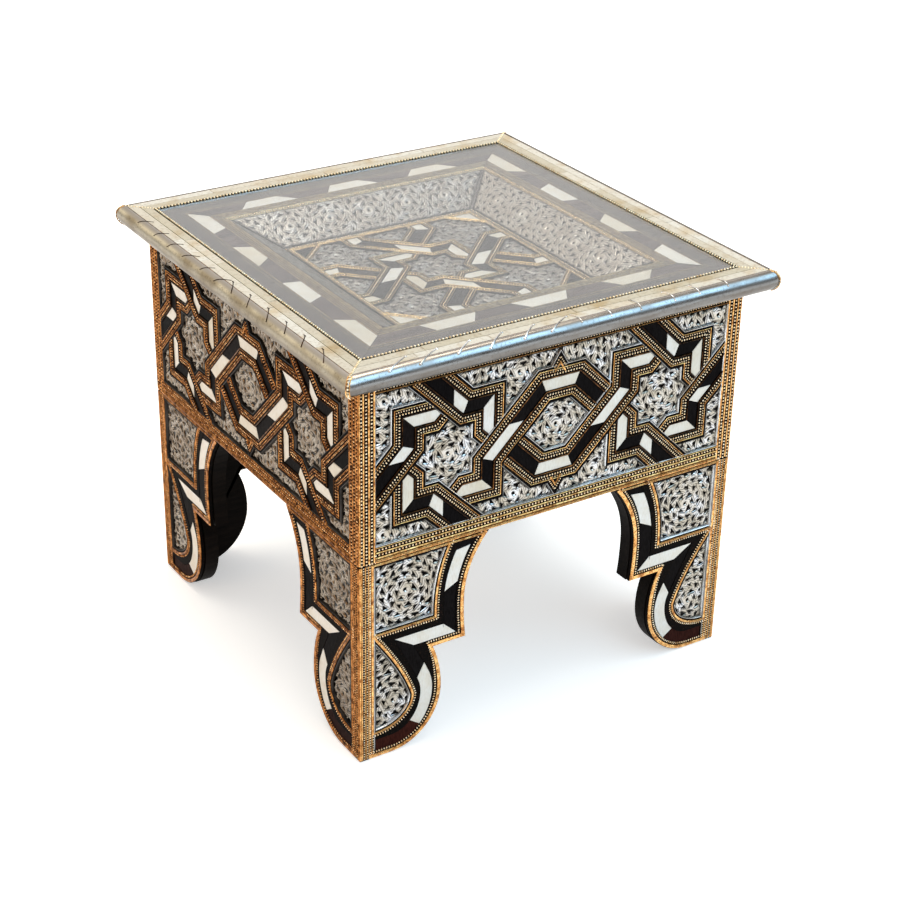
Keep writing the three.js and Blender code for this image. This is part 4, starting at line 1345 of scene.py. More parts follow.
def lay_leg_plates(at_corner, bones, ebonies, rng):
    line = leg_channel()
    bottom, top = PLATE_HEIGHTS
    half = LEG_CHANNEL_WIDTH / 2 - INLAY_CLEARANCE
    tip = CURVE_STEPS
    turn = CURVE_STEPS + 1
    points = np.array(line)

    def between(first, last, start, end):
        return at_corner(cut_band(line[first:last + 1], half, start, end))

    def index_at(height, low, high):
        heights = points[low:high, 1]
        return low + int(np.argmin(np.abs(heights - height)))

    def cut(index, slant, shift):
        step = points[min(index + 1, len(line) - 1)] - points[index - 1]
        angle = math.atan2(step[1], step[0]) + math.radians(slant)
        normal = (math.cos(angle), math.sin(angle))
        return (normal, float(points[index] @ normal) + shift)

    def bulb_cut(shift):
        return cut(bulb_bone, BULB_JOINT_SLANT, shift - BULB_JOINT_RISE)

    def arch_cut(index, shift):
        return cut(index, ARCH_JOINT_SLANT, shift)

    seam_bone = index_at(SEAM_JOINT_HEIGHT, 0, tip)
    arch_ebony = index_at(ARCH_JOINT_HEIGHT, 0, tip)
    bulb_bone = turn + 1
    last = len(line) - 1
    foot_red = index_at(FOOT_JOINT_HEIGHT, turn + CURVE_STEPS // 4 + 1, last)
    gap = JOINT_GAP
    joints = [
        (0, seam_bone, None, arch_cut(seam_bone, -gap)),
        (seam_bone, arch_ebony, arch_cut(seam_bone, gap), arch_cut(arch_ebony, -gap)),
        (arch_ebony, tip, arch_cut(arch_ebony, gap), mitre_cut(line, tip, -gap)),
        (tip, turn, mitre_cut(line, tip, gap), mitre_cut(line, turn, -gap)),
        (turn, bulb_bone, mitre_cut(line, turn, gap), bulb_cut(-gap)),
        (bulb_bone, foot_red, bulb_cut(gap), cut(foot_red, FOOT_JOINT_SLANT, -gap)),
        (foot_red, last, cut(foot_red, FOOT_JOINT_SLANT, gap), None),
    ]
    for i, (joint, shade) in enumerate(zip(joints, LEG_PLATE_SHADES)):
        parts = bones if i % 2 else ebonies
        tone = min(1.0, shade + rng.uniform(-LEG_SHADE_SPREAD, LEG_SHADE_SPREAD))
        parts.add_prism(between(*joint), bottom, top, INLAY_BEVEL, tone)


# Fine wires, each with its width, and rows of small beads in from a leg's corner
LEG_CORNER_WIRES = ((0.9, 1.5), (2.7, 1.3), (6.6, 1.0), (10.1, 1.0), (13.4, 0.8))
LEG_CORNER_BEADS = (4.7, 8.4, 11.8, 14.9)
LEG_CORNER_WIRE_HEIGHT = 0.9
# Their foot ends, and how far under the seam they stop
CORNER_WIRE_FOOT, CORNER_BEAD_FOOT, SEAM_GAP, BEAD_SEAM_GAP = 1.6, 3.0, 0.4, 1.0
# Along the leg's free edge: a strip's inset, width and height, and the inset of its beads
FREE_EDGE_STRIP, FREE_EDGE_BEADS = (2.5, 4.2, 1.3), 6.9
FREE_EDGE_FOOT_REACH = 10
# Round a silver field: a strip's offset out, width and height, and the offset of its beads
FIELD_STRIP, FIELD_BEADS = (3.4, 2.6, 1.2), 6.4
# A silver wire beside the corner: its inset, foot, gap under the seam's wires, width and height
CORNER_SILVER = (16.4, 10, 4, 1.3, 1.0)
# The strip under the seam: its depth under it, its gap from the free edge, width and height
SEAM_STRIP = (1.9, 6, 2.4, 1.3)


def lay_leg_wires(at_corner, strips, edges, beads):
    def free_edge(inset):
        corner = (FREE_EDGE_FOOT_REACH, LEG_REVEAL + inset)
        return at_corner([corner, *leg_edge(LEG_REVEAL + inset)])

    top = LEG_HEIGHT - SEAM_GAP
    inset, width, height = FREE_EDGE_STRIP
    strips.add_wire(free_edge(inset), width, height)
    beads.add(free_edge(FREE_EDGE_BEADS), "strip")
    for loop in (upper_field(), lower_field()):
        ring = anticlockwise(at_corner(loop))
        edges.add_edging(ring, -EDGING_LAP, closed=True)
        out, width, height = FIELD_STRIP
        strips.add_wire(offset_loop(ring, -out), width, height, closed=True)
        row = offset_loop(ring, -FIELD_BEADS)
        beads.add(np.vstack([row, row[:1]]), "strip")
    for inset, width in LEG_CORNER_WIRES:
        strips.add_wire(at_corner([(inset, CORNER_WIRE_FOOT), (inset, top)]), width, LEG_CORNER_WIRE_HEIGHT)
    for inset in LEG_CORNER_BEADS:
        beads.add(at_corner([(inset, CORNER_BEAD_FOOT), (inset, top - BEAD_SEAM_GAP)]), "fine")
    inset, foot, gap, width, height = CORNER_SILVER
    edges.add_wire(at_corner([(inset, foot), (inset, top - gap)]), width, height)
    depth, gap, width, height = SEAM_STRIP
    seam = [(CORNER_BAND, LEG_HEIGHT - depth), (arch_inset(LEG_HEIGHT, gap), LEG_HEIGHT - depth)]
    strips.add_wire(at_corner(seam), width, height)


def make_plate(name, outline, holes, face, thickness, turns, material, slot, replaces):
    """A plate with holes on the front side, mitred where it reaches the corner, from flat outlines."""
    loops = [anticlockwise(outline)] + [anticlockwise(hole)[::-1] for hole in holes]
    triangles = fill_loops(loops)
    flat = np.vstack(loops)
    count = len(flat)
    points = np.vstack([np.column_stack([flat, np.zeros(count)]),
                        np.column_stack([flat, np.full(count, -thickness)])])
    faces = [tuple(t) for t in triangles] + [tuple(i + count for i in t[::-1]) for t in triangles]
    base = 0
    for loop in loops:
        size = len(loop)
        for i in range(size):
            a, b = base + i, base + (i + 1) % size
            faces.append((b, a, a + count, b + count))
        base += size
    mitred = np.abs(np.abs(points[:, 0]) - face) < FIT_GAP / 2
    points[:, 0] = np.where(mitred, np.sign(points[:, 0]) * (face + points[:, 2] - FIT_GAP * ROOT_HALF),
                            points[:, 0])
    placed = turned(on_side(face)(points), turns)
    return make_piece(name, placed, faces, material, slot, smooth=SHARP_ANGLE, replaces=replaces)


def fill_loops(loops):
    """Triangles, all facing +Z, that fill an outline and leave its holes."""
    triangles = tessellate_polygon([[Vector((u, v, 0)) for u, v in loop] for loop in loops])
    flat = np.vstack(loops)
    filled = []
    for a, b, c in triangles:
        area = np.cross(flat[b] - flat[a], flat[c] - flat[a])
        filled.append((a, b, c) if area > 0 else (a, c, b))
    return filled


# Rim, from flat (u, distance out from the middle, height) points

def on_rim(points):
    return np.column_stack([points[:, 0], -points[:, 1], points[:, 2]])


NOSE_ROOT = BONE_OUTER + FIT_GAP
NOSE_REACH = RIM_HALF - NOSE_ROOT
NOSE_RISE = (BONE_TOP - RIM_UNDERSIDE) / 2
NOSE_MID = (BONE_TOP + RIM_UNDERSIDE) / 2
NOSE_SHEET = 1.2
NOSE_FLANGE = 11
NOSE_STEPS = 22
NOSE_RUNS = 64
# Hand-beaten waves along the nose: their lengths and depth, and which length the deeper ones low down have
WAVE_LENGTHS, WAVE_DEPTH = (210, 97, 53, 38, 71, 29), 0.22
LOW_WAVE, LOW_WAVE_DEPTH = 2, 0.3
# How far the nose draws in at the mitres, which makes room for the ropes there
MITRE_PULL = 1.4
RIM_SPLIT = 229.5
RIM_SPLIT_HALF = 0.12
# Brown joint between the bone and the nose, and inside the bone a black line that is a painted shadow gap
OUTER_JOINT, INNER_SHADOW_LINE = 0.6, 1.1
# Stitches of the sides that have them: wire, how far out they start, slant and radius on each half, shade,
# and half the width of the head on the right half. The left side's dark wire at its low shade is painted
# shade for that side.
STITCHES = {"front": (SILVER_WIRE, 231.5, (23, 3), (1.25, 0.7), 1.0, 0),
            "left": (COPPER_WIRE, 235.5, (13, 18), (0.35, 0.45), 0.1, 1.8)}
STITCHES_PER_HALF = 6
STITCH_PITCH = 35.5
STITCH_START = 3
STITCH_END = 247.4
STITCH_STAND = 0.85
STITCH_STEPS = 12
STITCH_BOW, STITCH_CURVE = 0.8, 0.9
# How much the start, slant and end of a stitch vary, and its thickness
START_SPREAD, SLANT_SPREAD, END_SPREAD, THICKNESS_SPREAD = (-2, 2), (-4, 4), (-1.2, 0.8), (0.8, 1.05)
# A stitch's outer nail and inner nail: radius and rise as shares of the wire's radius
OUTER_NAIL_SHARES, INNER_NAIL_SHARES = (1.6, 1.2), (1.3, 1.0)
HEAD_ARCH = 0.1


def nose_height(distance):
    """The height of the rim's top at a distance from the middle, flat and then round the nose."""
    share = np.clip((distance - NOSE_ROOT) / NOSE_REACH, 0, 1)
    return NOSE_MID + NOSE_RISE * math.sqrt(1 - share * share)


def nose_section():
    outside = [(NOSE_ROOT + NOSE_REACH * math.sin(a), NOSE_MID + NOSE_RISE * math.cos(a))
               for a in np.linspace(0, math.pi, NOSE_STEPS + 1)]
    inside = [(NOSE_ROOT + (NOSE_REACH - NOSE_SHEET) * math.sin(a),
               NOSE_MID + (NOSE_RISE - NOSE_SHEET) * math.cos(a))
              for a in np.linspace(math.pi, 0, NOSE_STEPS + 1)]
    flange = [(NOSE_ROOT - NOSE_FLANGE, height) for height in (RIM_UNDERSIDE, RIM_UNDERSIDE + NOSE_SHEET)]
    return outside + flange + inside


def add_nose(parts, rng):
    section = np.array(nose_section())
    phases = rng.uniform(0, 2 * math.pi, len(WAVE_LENGTHS))
    rings = []
    for share in np.linspace(-1, 1, NOSE_RUNS + 1):
        along = share * NOSE_ROOT
        wave = sum(math.sin(along / length * 2 * math.pi + phase)
                   for length, phase in zip(WAVE_LENGTHS, phases)) / len(WAVE_LENGTHS)
        ring = section.copy()
        out = np.clip((section[:, 0] - NOSE_ROOT) / NOSE_REACH, 0, 1)
        ring[:, 0] -= out * (WAVE_DEPTH * (1 + wave) + (MITRE_PULL if abs(share) == 1 else 0))
        low = np.clip((NOSE_MID - section[:, 1]) / NOSE_RISE, 0, 1) * out
        low_wave = math.sin(along / WAVE_LENGTHS[LOW_WAVE] + phases[LOW_WAVE + 1])
        ring[:, 0] -= low * LOW_WAVE_DEPTH * (1 + low_wave)
        across = share * (ring[:, 0] - FIT_GAP * ROOT_HALF)
        rings.append(np.column_stack([across, ring]))
    parts.add(np.vstack(rings), ring_faces(len(rings), len(section)))


WIRE_SIDES = 6
# Sides and rings of a nail's head, and how far short of its top the last ring ends
HEAD_SIDES, HEAD_RINGS, HEAD_TOP_RINGS = 10, 3, 0.6


def tube(parts, path, radius, shade=MID_SHADE):
    """A round wire along a path of 3D points, with flat ends."""
    path = np.array(path, float)
    tangents = np.gradient(path, axis=0)
    tangents /= np.linalg.norm(tangents, axis=1)[:, None]
    points = []
    for here, tangent in zip(path, tangents):
        across = np.cross(tangent, (0, 0, 1))
        across /= np.linalg.norm(across)
        above = np.cross(across, tangent)
        for a in np.arange(WIRE_SIDES) * 2 * math.pi / WIRE_SIDES:
            points.append(here + radius * (math.cos(a) * across + math.sin(a) * above))
    parts.add(points, ring_faces(len(path), WIRE_SIDES), shade)


def dome(parts, centre, radius, rise, shade):
    """A nail's head: a low dome with its rim on the surface."""
    points = []
    for ring in range(HEAD_RINGS + 1):
        angle = ring / (HEAD_RINGS + HEAD_TOP_RINGS) * math.pi / 2
        for a in np.arange(HEAD_SIDES) * 2 * math.pi / HEAD_SIDES:
            reach = radius * math.cos(angle)
            points.append((centre[0] + reach * math.cos(a), centre[1] + reach * math.sin(a),
                           centre[2] + rise * math.sin(angle)))
    parts.add(points, ring_faces(HEAD_RINGS + 1, HEAD_SIDES), shade)


def add_stitches(parts, first, slants, radii, shade, head_half, rng):
    """Wires that bind the bone to the nose. They lean away from the middle of the side."""
    for way, lean, wire_radius in zip((-1, 1), slants, radii):
        for k in range(STITCHES_PER_HALF):
            start = way * (STITCH_START + STITCH_PITCH * k + rng.uniform(*START_SPREAD))
            slant = way * (lean + rng.uniform(*SLANT_SPREAD))
            end = STITCH_END + rng.uniform(*END_SPREAD)
            stand = min(wire_radius / 2, STITCH_STAND - wire_radius)
            path = []
            for share in np.linspace(0, 1, STITCH_STEPS):
                distance = first + (end - first) * share
                along = start + slant * share ** STITCH_CURVE + math.sin(math.pi * share) * STITCH_BOW
                path.append((along, distance, nose_height(distance) + stand))
            tube(parts, path, wire_radius * rng.uniform(*THICKNESS_SPREAD), shade)
            for place, shares in ((path[-1], OUTER_NAIL_SHARES), (path[0], INNER_NAIL_SHARES)):
                dome(parts, place, wire_radius * shares[0], wire_radius * shares[1], shade)
            if head_half and way > 0:
                x, y, z = path[0]
                tube(parts, [(x - head_half, y, z), (x, y, z + HEAD_ARCH), (x + head_half, y, z)],
                     wire_radius, shade)


# Rim plates: lengths, the most that the last one may take, slant of their ends, bevel, and the shades of
# the inner and the outer row with their spread
PLATE_LENGTHS, LAST_PLATE_LENGTH, PLATE_SLANT, RIM_BEVEL = (62, 118), 150, 0.6, 0.4
INNER_SHADE, OUTER_SHADE, RIM_SHADE_SPREAD = 0.45, 0.8, 0.35
# Depths of the fillings in the rim's joints and of the black painted shadow line, how far they stop short
# of its mitres, and the outer one's lap
WAX_DEPTH, SHADOW_LINE_DEPTH, WAX_END, JOINT_END, NOSE_LAP = 0.1, 0.4, 1, 2, 0.1


def add_rim_plates(inner, outer, line, rng):
    gap = FIT_GAP * ROOT_HALF
    for parts, near, far, base in (
            (inner, BONE_INNER + INNER_SHADOW_LINE, RIM_SPLIT - RIM_SPLIT_HALF, INNER_SHADE),
            (outer, RIM_SPLIT + RIM_SPLIT_HALF, BONE_OUTER - OUTER_JOINT, OUTER_SHADE)):
        cuts = [-far]
        while cuts[-1] < far - LAST_PLATE_LENGTH:
            cuts.append(cuts[-1] + rng.uniform(*PLATE_LENGTHS))
        cuts.append(far)
        for start, end in zip(cuts, cuts[1:]):
            slant = rng.uniform(-PLATE_SLANT, PLATE_SLANT)
            left_near = -near + gap if start == -far else start + JOINT_GAP + slant
            left_far = -far + gap if start == -far else start + JOINT_GAP
            right_near = near - gap if end == far else end - JOINT_GAP + slant
            right_far = far - gap if end == far else end - JOINT_GAP
            outline = [(left_near, near), (right_near, near), (right_far, far), (left_far, far)]
            shade = np.clip(base + rng.uniform(-RIM_SHADE_SPREAD, RIM_SHADE_SPREAD), 0, 1)
            parts.add_prism(outline, BONE_BOTTOM, BONE_TOP, RIM_BEVEL, float(shade))
    reach = RIM_SPLIT - WAX_END
    line.add_prism(rectangle(-reach, RIM_SPLIT - RIM_SPLIT_HALF, reach, RIM_SPLIT + RIM_SPLIT_HALF),
                   BONE_BOTTOM, BONE_TOP - WAX_DEPTH, shade=0.0)


def dress_rim(turns):
    side = SIDES[turns]
    rng = np.random.default_rng(RIM_SEED + turns)
    nose, inner, outer, line, stitches, joint, pitch = [Parts() for _ in range(7)]
    add_nose(nose, rng)
    add_rim_plates(inner, outer, line, rng)

    def make(name, parts, material, slot, **options):
        make_parts(f"rim_{name}_{side}", parts, on_rim, turns, material, slot, **options)

    if side in STITCHES:
        wire, *stitch = STITCHES[side]
        add_stitches(stitches, *stitch, rng)
        make("stitches", stitches, wire, "brass_wire", smooth=ROUND_ANGLE)
    # The left side's nose takes a copy whose beige is a painted reflection of a warm wall.
    make("nose", nose, LEFT_NOSE_WALL_REFLECTION if side == "left" else NOSE_SILVER, "polished_nickel_silver",
         smooth=NOSE_ANGLE, replaces=[f"rim_edging_{side}"])
    for row, parts in (("bone_inner", inner), ("bone_outer", outer)):
        make(row, parts, RIM_BONE, "camel_bone", replaces=[f"rim_bone_{side}"])
    make("wax_line", line, RIM_BONE, "camel_bone")
    reach = BONE_OUTER - JOINT_END
    joint.add_prism(rectangle(-reach, BONE_OUTER - OUTER_JOINT, reach, BONE_OUTER + NOSE_LAP),
                    BONE_BOTTOM, BONE_TOP - WAX_DEPTH, shade=1.0)
    make("joint_line", joint, COPPER_WIRE, "brass_wire")
    # The black line inside the bone is a painted shadow gap.
    pitch.add_prism(rectangle(-BONE_INNER, BONE_INNER, BONE_INNER, BONE_INNER + INNER_SHADOW_LINE),
                    BONE_BOTTOM, BONE_TOP - SHADOW_LINE_DEPTH)
    make("shadow_line", pitch, GROUND, "walnut_wood")


# A mitre's rope: radius, depth and start on the bone, steps there and round the nose, and angles there
ROPE_RADIUS, ROPE_DEPTH, ROPE_START, ROPE_STEPS = 1.75, 0.25, 0.5, (8, 22)
ROPE_ANGLES = (0.1, math.pi * 0.93)
ROPE_NOSE_DEPTH = 0.1
# The wires beside it: offset, depth under its middle and radius
ROPE_WIRE_OFFSET, ROPE_WIRE_DEPTH, ROPE_WIRE_RADIUS = 1.2, 0.4, 0.5


def dress_mitre(turns):
    """A twisted rope between two plain wires, over the rim's mitre at the left end of a side."""
    corner = CORNERS[turns]
    bone_steps, nose_steps = ROPE_STEPS
    path = [(d, BONE_TOP - ROPE_DEPTH) for d in np.linspace(BONE_INNER + ROPE_START, NOSE_ROOT, bone_steps)]
    for angle in np.linspace(*ROPE_ANGLES, nose_steps):
        path.append((NOSE_ROOT + (NOSE_REACH - ROPE_RADIUS) * math.sin(angle),
                     NOSE_MID + (NOSE_RISE - ROPE_NOSE_DEPTH) * math.cos(angle)))
    rows = [[(-d, -d, z) for d, z in path]]
    points, faces = bead_mesh(rows, ROPE_BRASS, **BEAD_KINDS["mitre"])
    make_piece(f"mitre_rope_{corner}", turned(points, turns), faces, ROPE_BRASS, "brass_wire",
               smooth=SOFT_ANGLE)
    wires = Parts()
    for way in (-1, 1):
        shift = way * ROPE_WIRE_OFFSET
        tube(wires, [(shift - d, -d - shift, z - ROPE_WIRE_DEPTH) for d, z in path], ROPE_WIRE_RADIUS)
    points = turned(wires.mesh_points(), turns)
    make_piece(f"mitre_wires_{corner}", points, wires.faces, STRIP_BRASS, "brass_wire", smooth=ROUND_ANGLE)


# Half the width of the pitch under the glass's rope, and how far under the table's top it ends
CORE_HALF, CORE_DEPTH = 0.95, 2.0


def dress_glass_edge():
    """A rope of beads on a core of pitch, round the glass."""
    middle = (BONE_INNER + FRIEZE_OUTER) / 2
    bead = BEAD_KINDS["rope"]
    height = TABLE_HEIGHT - bead["height"] / 2
    corners = rectangle(-middle, -middle, middle, middle)
    row = [(x, y, height) for x, y in [*corners, corners[0]]]
    points, faces = bead_mesh([row], ROPE_BRASS, **bead)
    make_piece("glass_rope", points, faces, ROPE_BRASS, "brass_wire", smooth=SOFT_ANGLE,
               replaces=["glass_bead_wire"])
    core = Parts()
    core.add_sweep(anticlockwise(corners), rectangle(-CORE_HALF, BONE_BOTTOM, CORE_HALF,
                                                     TABLE_HEIGHT - CORE_DEPTH), closed=True)
    make_piece("glass_rope_core", core.mesh_points(), core.faces, GROUND, "brass_wire", smooth=SHARP_ANGLE,
               replaces=["glass_bead_wire"])


# Frieze under the glass. Each bone is (outer start, outer end, inner start, inner end) along its side.
FRIEZE_OUTER_LINE, FRIEZE_INNER_LINE = 192.5, 175.0
FRIEZE_DEPTH, FRIEZE_RISE, FRIEZE_BEVEL = 0.5, 0.14, 0.1
WOOD_SHADES = (0.7, 0.95)
RIGHT_BONES = [(-191, -127, -181, -136), (-85, -27, -76, -42), (22, 78, 27, 69), (123, 192, 134, 176)]
FRIEZE_BONES = {
    "front": [(-120.5, -79, -129.5, -67), (-13.5, 27, -27, 38), (93.5, 127, 80, 142.5)],
    "right": RIGHT_BONES,
    "back": [(-118, -84, -134, -69), (-15, 20, -31, 32), (86, 122, 69, 136)],
    "left": RIGHT_BONES,
}


# Strips beside them: distance out from the middle, width and rise, all with the same bevel
FRIEZE_STRIPS = ((165.4, 1.6, 0.2), (168.2, 0.9, 0.2), (170.8, 0.9, 0.2), (173.6, 1.2, 0.2),
                 (193.4, 0.8, 0.14), (197.4, 0.6, 0.1))
FRIEZE_STRIP_BEVEL = 0.15


def dress_frieze(turns):
    side = SIDES[turns]
    rng = np.random.default_rng(FRIEZE_SEED + turns)
    bones, darks, strips = Parts(), Parts(), Parts()
    bottom, top = FRIEZE_TOP - FRIEZE_DEPTH, FRIEZE_TOP + FRIEZE_RISE
    gap = FIT_GAP * ROOT_HALF
    edges = [(-FRIEZE_OUTER_LINE + gap, -FRIEZE_INNER_LINE + gap)]
    for outer_start, outer_end, inner_start, inner_end in FRIEZE_BONES[side]:
        edges += [(outer_start, inner_start), (outer_end, inner_end)]
    edges.append((FRIEZE_OUTER_LINE - gap, FRIEZE_INNER_LINE - gap))
    for i, (left, right) in enumerate(zip(edges, edges[1:])):
        outline = [(left[1] + JOINT_GAP, FRIEZE_INNER_LINE), (right[1] - JOINT_GAP, FRIEZE_INNER_LINE),
                   (right[0] - JOINT_GAP, FRIEZE_OUTER_LINE), (left[0] + JOINT_GAP, FRIEZE_OUTER_LINE)]
        parts = bones if i % 2 else darks
        shade = rng.random() if parts is bones else rng.uniform(*WOOD_SHADES)
        parts.add_prism(outline, bottom, top, FRIEZE_BEVEL, shade)
    for distance, width, rise in FRIEZE_STRIPS:
        ends = distance - gap - width / 2
        strips.add_prism(rectangle(-ends, distance - width / 2, ends, distance + width / 2), bottom,
                         FRIEZE_TOP + rise, FRIEZE_STRIP_BEVEL)
    make_inlay("frieze_{}_" + side, on_rim, turns, None, bone_plates=(bones, BONE),
               dark_plates=(darks, FRIEZE_WOOD), brass_strips=(strips, PALE_BRASS))


# Tray
WALL_RUN, WALL_RISE = TRAY_WALL_TOP - TRAY_FLOOR_HALF, FRIEZE_TOP - TRAY_FOOT
WALL_LENGTH = math.hypot(WALL_RUN, WALL_RISE)
WALL_STRIP = 5.0
WALL_CORNER_GAP = 0.6
WALL_FIELD_GAP = 2
# Up the slope: strips at two distances under its top and one above its foot, and rows of beads
WALL_STRIPS, WALL_STRIP_SIZE = (1.4, WALL_LENGTH - 1.6, WALL_LENGTH - 4.3), (1.8, 0.7)
WALL_BEADS = (3.7, WALL_LENGTH - 2.9)


def on_wall(points):
    """Places flat work on a tray wall: u to the left, v up the slope, w out of it."""
    run, rise = WALL_RUN / WALL_LENGTH, WALL_RISE / WALL_LENGTH
    distance = TRAY_FLOOR_HALF + points[:, 1] * run - points[:, 2] * rise
    height = TRAY_FOOT + points[:, 1] * rise + points[:, 2] * run
    return np.column_stack([-points[:, 0], -distance, height])


def wall_line(up, gap=WALL_CORNER_GAP):
    """The level line at a distance up a tray wall, short of the corners by gap."""
    half = TRAY_FLOOR_HALF + up * WALL_RUN / WALL_LENGTH - gap
    return [(-half, up), (half, up)]


def dress_tray_wall(turns):
    side = SIDES[turns]
    low, high = WALL_STRIP, WALL_LENGTH - WALL_STRIP
    gap = WALL_CORNER_GAP + WALL_FIELD_GAP
    field = [*wall_line(low, gap), *wall_line(high, gap)[::-1]]
    box = (field[3][0], low, field[2][0], high)

    def clearance(points):
        return outline_clearance(points, field)
    # The right wall takes a lighter copy of the sheet: painted light on that wall.
    emboss(f"tray_silver_{side}", box, clearance, on_wall, turns,
           RIGHT_WALL_LIT_REPOUSSE if side == "right" else TRAY_REPOUSSE, cell=TRAY_CELL, phase=WALL_PHASE * turns,
           bands=1, pillow=0.2, leaf_rise=0.5, swell_rise=0.2, shrink=0.35)
    strips = Parts()
    beads = BeadRows(BEAD_BRASS)
    for up in WALL_STRIPS:
        strips.add_wire(wall_line(up), *WALL_STRIP_SIZE)
    for up in WALL_BEADS:
        beads.add(wall_line(up), "tray")
    make_inlay("tray_wall_{}_" + side, on_wall, turns, beads, strips=(strips, PALE_BRASS))


def tray_corner(turns):
    edge = TRAY_STRAPWORK_HALF
    reach = edge - TRAY_BORDER - TRAY_CORNER_REACH
    return [quarter_turned(point, turns) for point in ((edge, edge), (reach, edge), (edge, reach))]


# Beside a strap's bone and ebony: strips (offset, width, height), with a row of beads between them
TRAY_STRIPS = ((7.9, 1.2, 0.9), (13.0, 1.2, 1.0))
TRAY_BEAD_OFFSET = 10.4
# Round the floor's edge: strips (distance in, width, height) and the beads between them
TRAY_EDGE_STRIPS = ((1.3, 1.8, 0.9), (TRAY_BORDER - 1.0, 1.6, 0.9))
TRAY_EDGE_BEADS = 3.2


def lay_beside(row_at, strips, beads):
    """Strips and beads along the rows that row_at gives for their offsets from a strap's middle."""
    for offset, width, height in TRAY_STRIPS:
        strips.add_wire(row_at(offset), width, height)
    beads.add(row_at(TRAY_BEAD_OFFSET), "tray")


def dress_tray_floor():
    rng = np.random.default_rng(TRAY_SEED)
    straps, beside = tray_straps()
    bones, ebonies, strips = Parts(), Parts(), Parts()
    beads = BeadRows(BEAD_BRASS)
    half = TRAY_CHANNEL_WIDTH / 2 - INLAY_CLEARANCE
    for strap in straps:
        lay_strap_plates(strap, half, TRAY_BONE_START, bones, ebonies, PLATE_HEIGHTS, rng, {0})
        lay_beside(strap.outer_row, strips, beads)
        lay_beside(strap.inner_row, strips, beads)
    for turns, (line, start) in enumerate(beside):
        bend = mitre_cut(line, 1)
        for run, first, last, parts in (
                (line[:2], moved_cut(start, JOINT_GAP), moved_cut(bend, -JOINT_GAP), ebonies),
                (line[1:], moved_cut(bend, JOINT_GAP), None, bones)):
            outline = band_outline(run, half, first, last)
            parts.add_prism(outline, *PLATE_HEIGHTS, INLAY_BEVEL, rng.uniform(*DARK_SHADES))
        for way in (-1, 1):
            lay_beside(lambda offset: offset_line(line, way * offset, start), strips, beads)
    lay_tray_corners(bones, ebonies, strips, beads, rng)
    edge = TRAY_STRAPWORK_HALF
    square = anticlockwise(rectangle(-edge, -edge, edge, edge))
    for inset, width, height in TRAY_EDGE_STRIPS:
        strips.add_wire(offset_loop(square, inset), width, height, closed=True)
    row = offset_loop(square, TRAY_EDGE_BEADS)
    beads.add(np.vstack([row, row[:1]]), "tray")
    make_inlay("tray_{}", on_top(TRAY_STRAPWORK_TOP), 0, beads, bone_plates=(bones, BONE),
               ebony_plates=(ebonies, EBONY), brass_strips=(strips, PALE_BRASS))
    outlines = [band_outline(strap.line, TRAY_STRAP_WIDTH / 2, None, strap.end) for strap in straps]
    outlines += [band_outline(line, TRAY_STRAP_WIDTH / 2, start) for line, start in beside]
    outlines += [tray_corner(turns) for turns in range(4)]
    field = TRAY_STRAPWORK_HALF - TRAY_BORDER
    star = star_outline(TRAY_STAR_HALF, TRAY_STRAP_WIDTH, 0)
    box = (-field, -field, field, field)
    emboss("tray_silver_floor", box, field_clearance(outlines, [star], box), on_top(TRAY_FOOT - FIT_GAP),
           0, TRAY_REPOUSSE, phase=TRAY_PHASE, cell=TRAY_CELL, leaf_rise=0.9)


# A corner's triangle: how much less it reaches than the corner, its gap from the edge, its bottom, top and
# bevel, its shades, and the strips (offset, width, height) and beads along its long side
TRIANGLE_INSET, TRIANGLE_GAP, TRIANGLE_HEIGHTS = 9.5, 0.6, (-0.3, 0.25, 0.2)
TRIANGLE_SHADES = (0.2, 0.7)
TRIANGLE_STRIPS, TRIANGLE_BEADS = ((1.2, 1.6, 1.0), (5.4, 1.6, 1.0)), 3.3


def lay_tray_corners(bones, ebonies, strips, beads, rng):
    """A triangle of bone or ebony in each corner, edged along its long side."""
    field = TRAY_STRAPWORK_HALF - TRAY_BORDER
    for turns in range(4):
        parts = bones if turns % 2 == 0 else ebonies
        near, far = field - TRIANGLE_GAP, field - TRAY_CORNER_REACH + TRIANGLE_INSET
        triangle = [(near, near), (far, near), (near, far)]
        outline = [quarter_turned(point, turns) for point in triangle]
        parts.add_prism(outline, *TRIANGLE_HEIGHTS, rng.uniform(*TRIANGLE_SHADES))
        ends = [(field - TRAY_CORNER_REACH, field), (field, field - TRAY_CORNER_REACH)]
        line = [quarter_turned(point, turns) for point in ends]
        for offset, width, height in TRIANGLE_STRIPS:
            strips.add_wire(offset_line(line, offset), width, height)
        beads.add(offset_line(line, TRIANGLE_BEADS), "tray")


for index in range(4):
    dress_rim(index)
    dress_mitre(index)
    dress_frieze(index)
    dress_tray_wall(index)
    dress_apron(index)
    emboss(f"apron_silver_{SIDES[index]}", APRON_FIELD, apron_clearance(),
           lambda points: on_side(SHEET_FACE)(points + (0, PATTERN_MID, 0)), index,
           SIDE_METALS.get(SIDES[index], FRONT_METALS)[0], phase=APRON_PHASE * index, shrink=0.2)
    for leg_end in (-1, 1):
        dress_leg(index, leg_end)
dress_glass_edge()
dress_tray_floor()


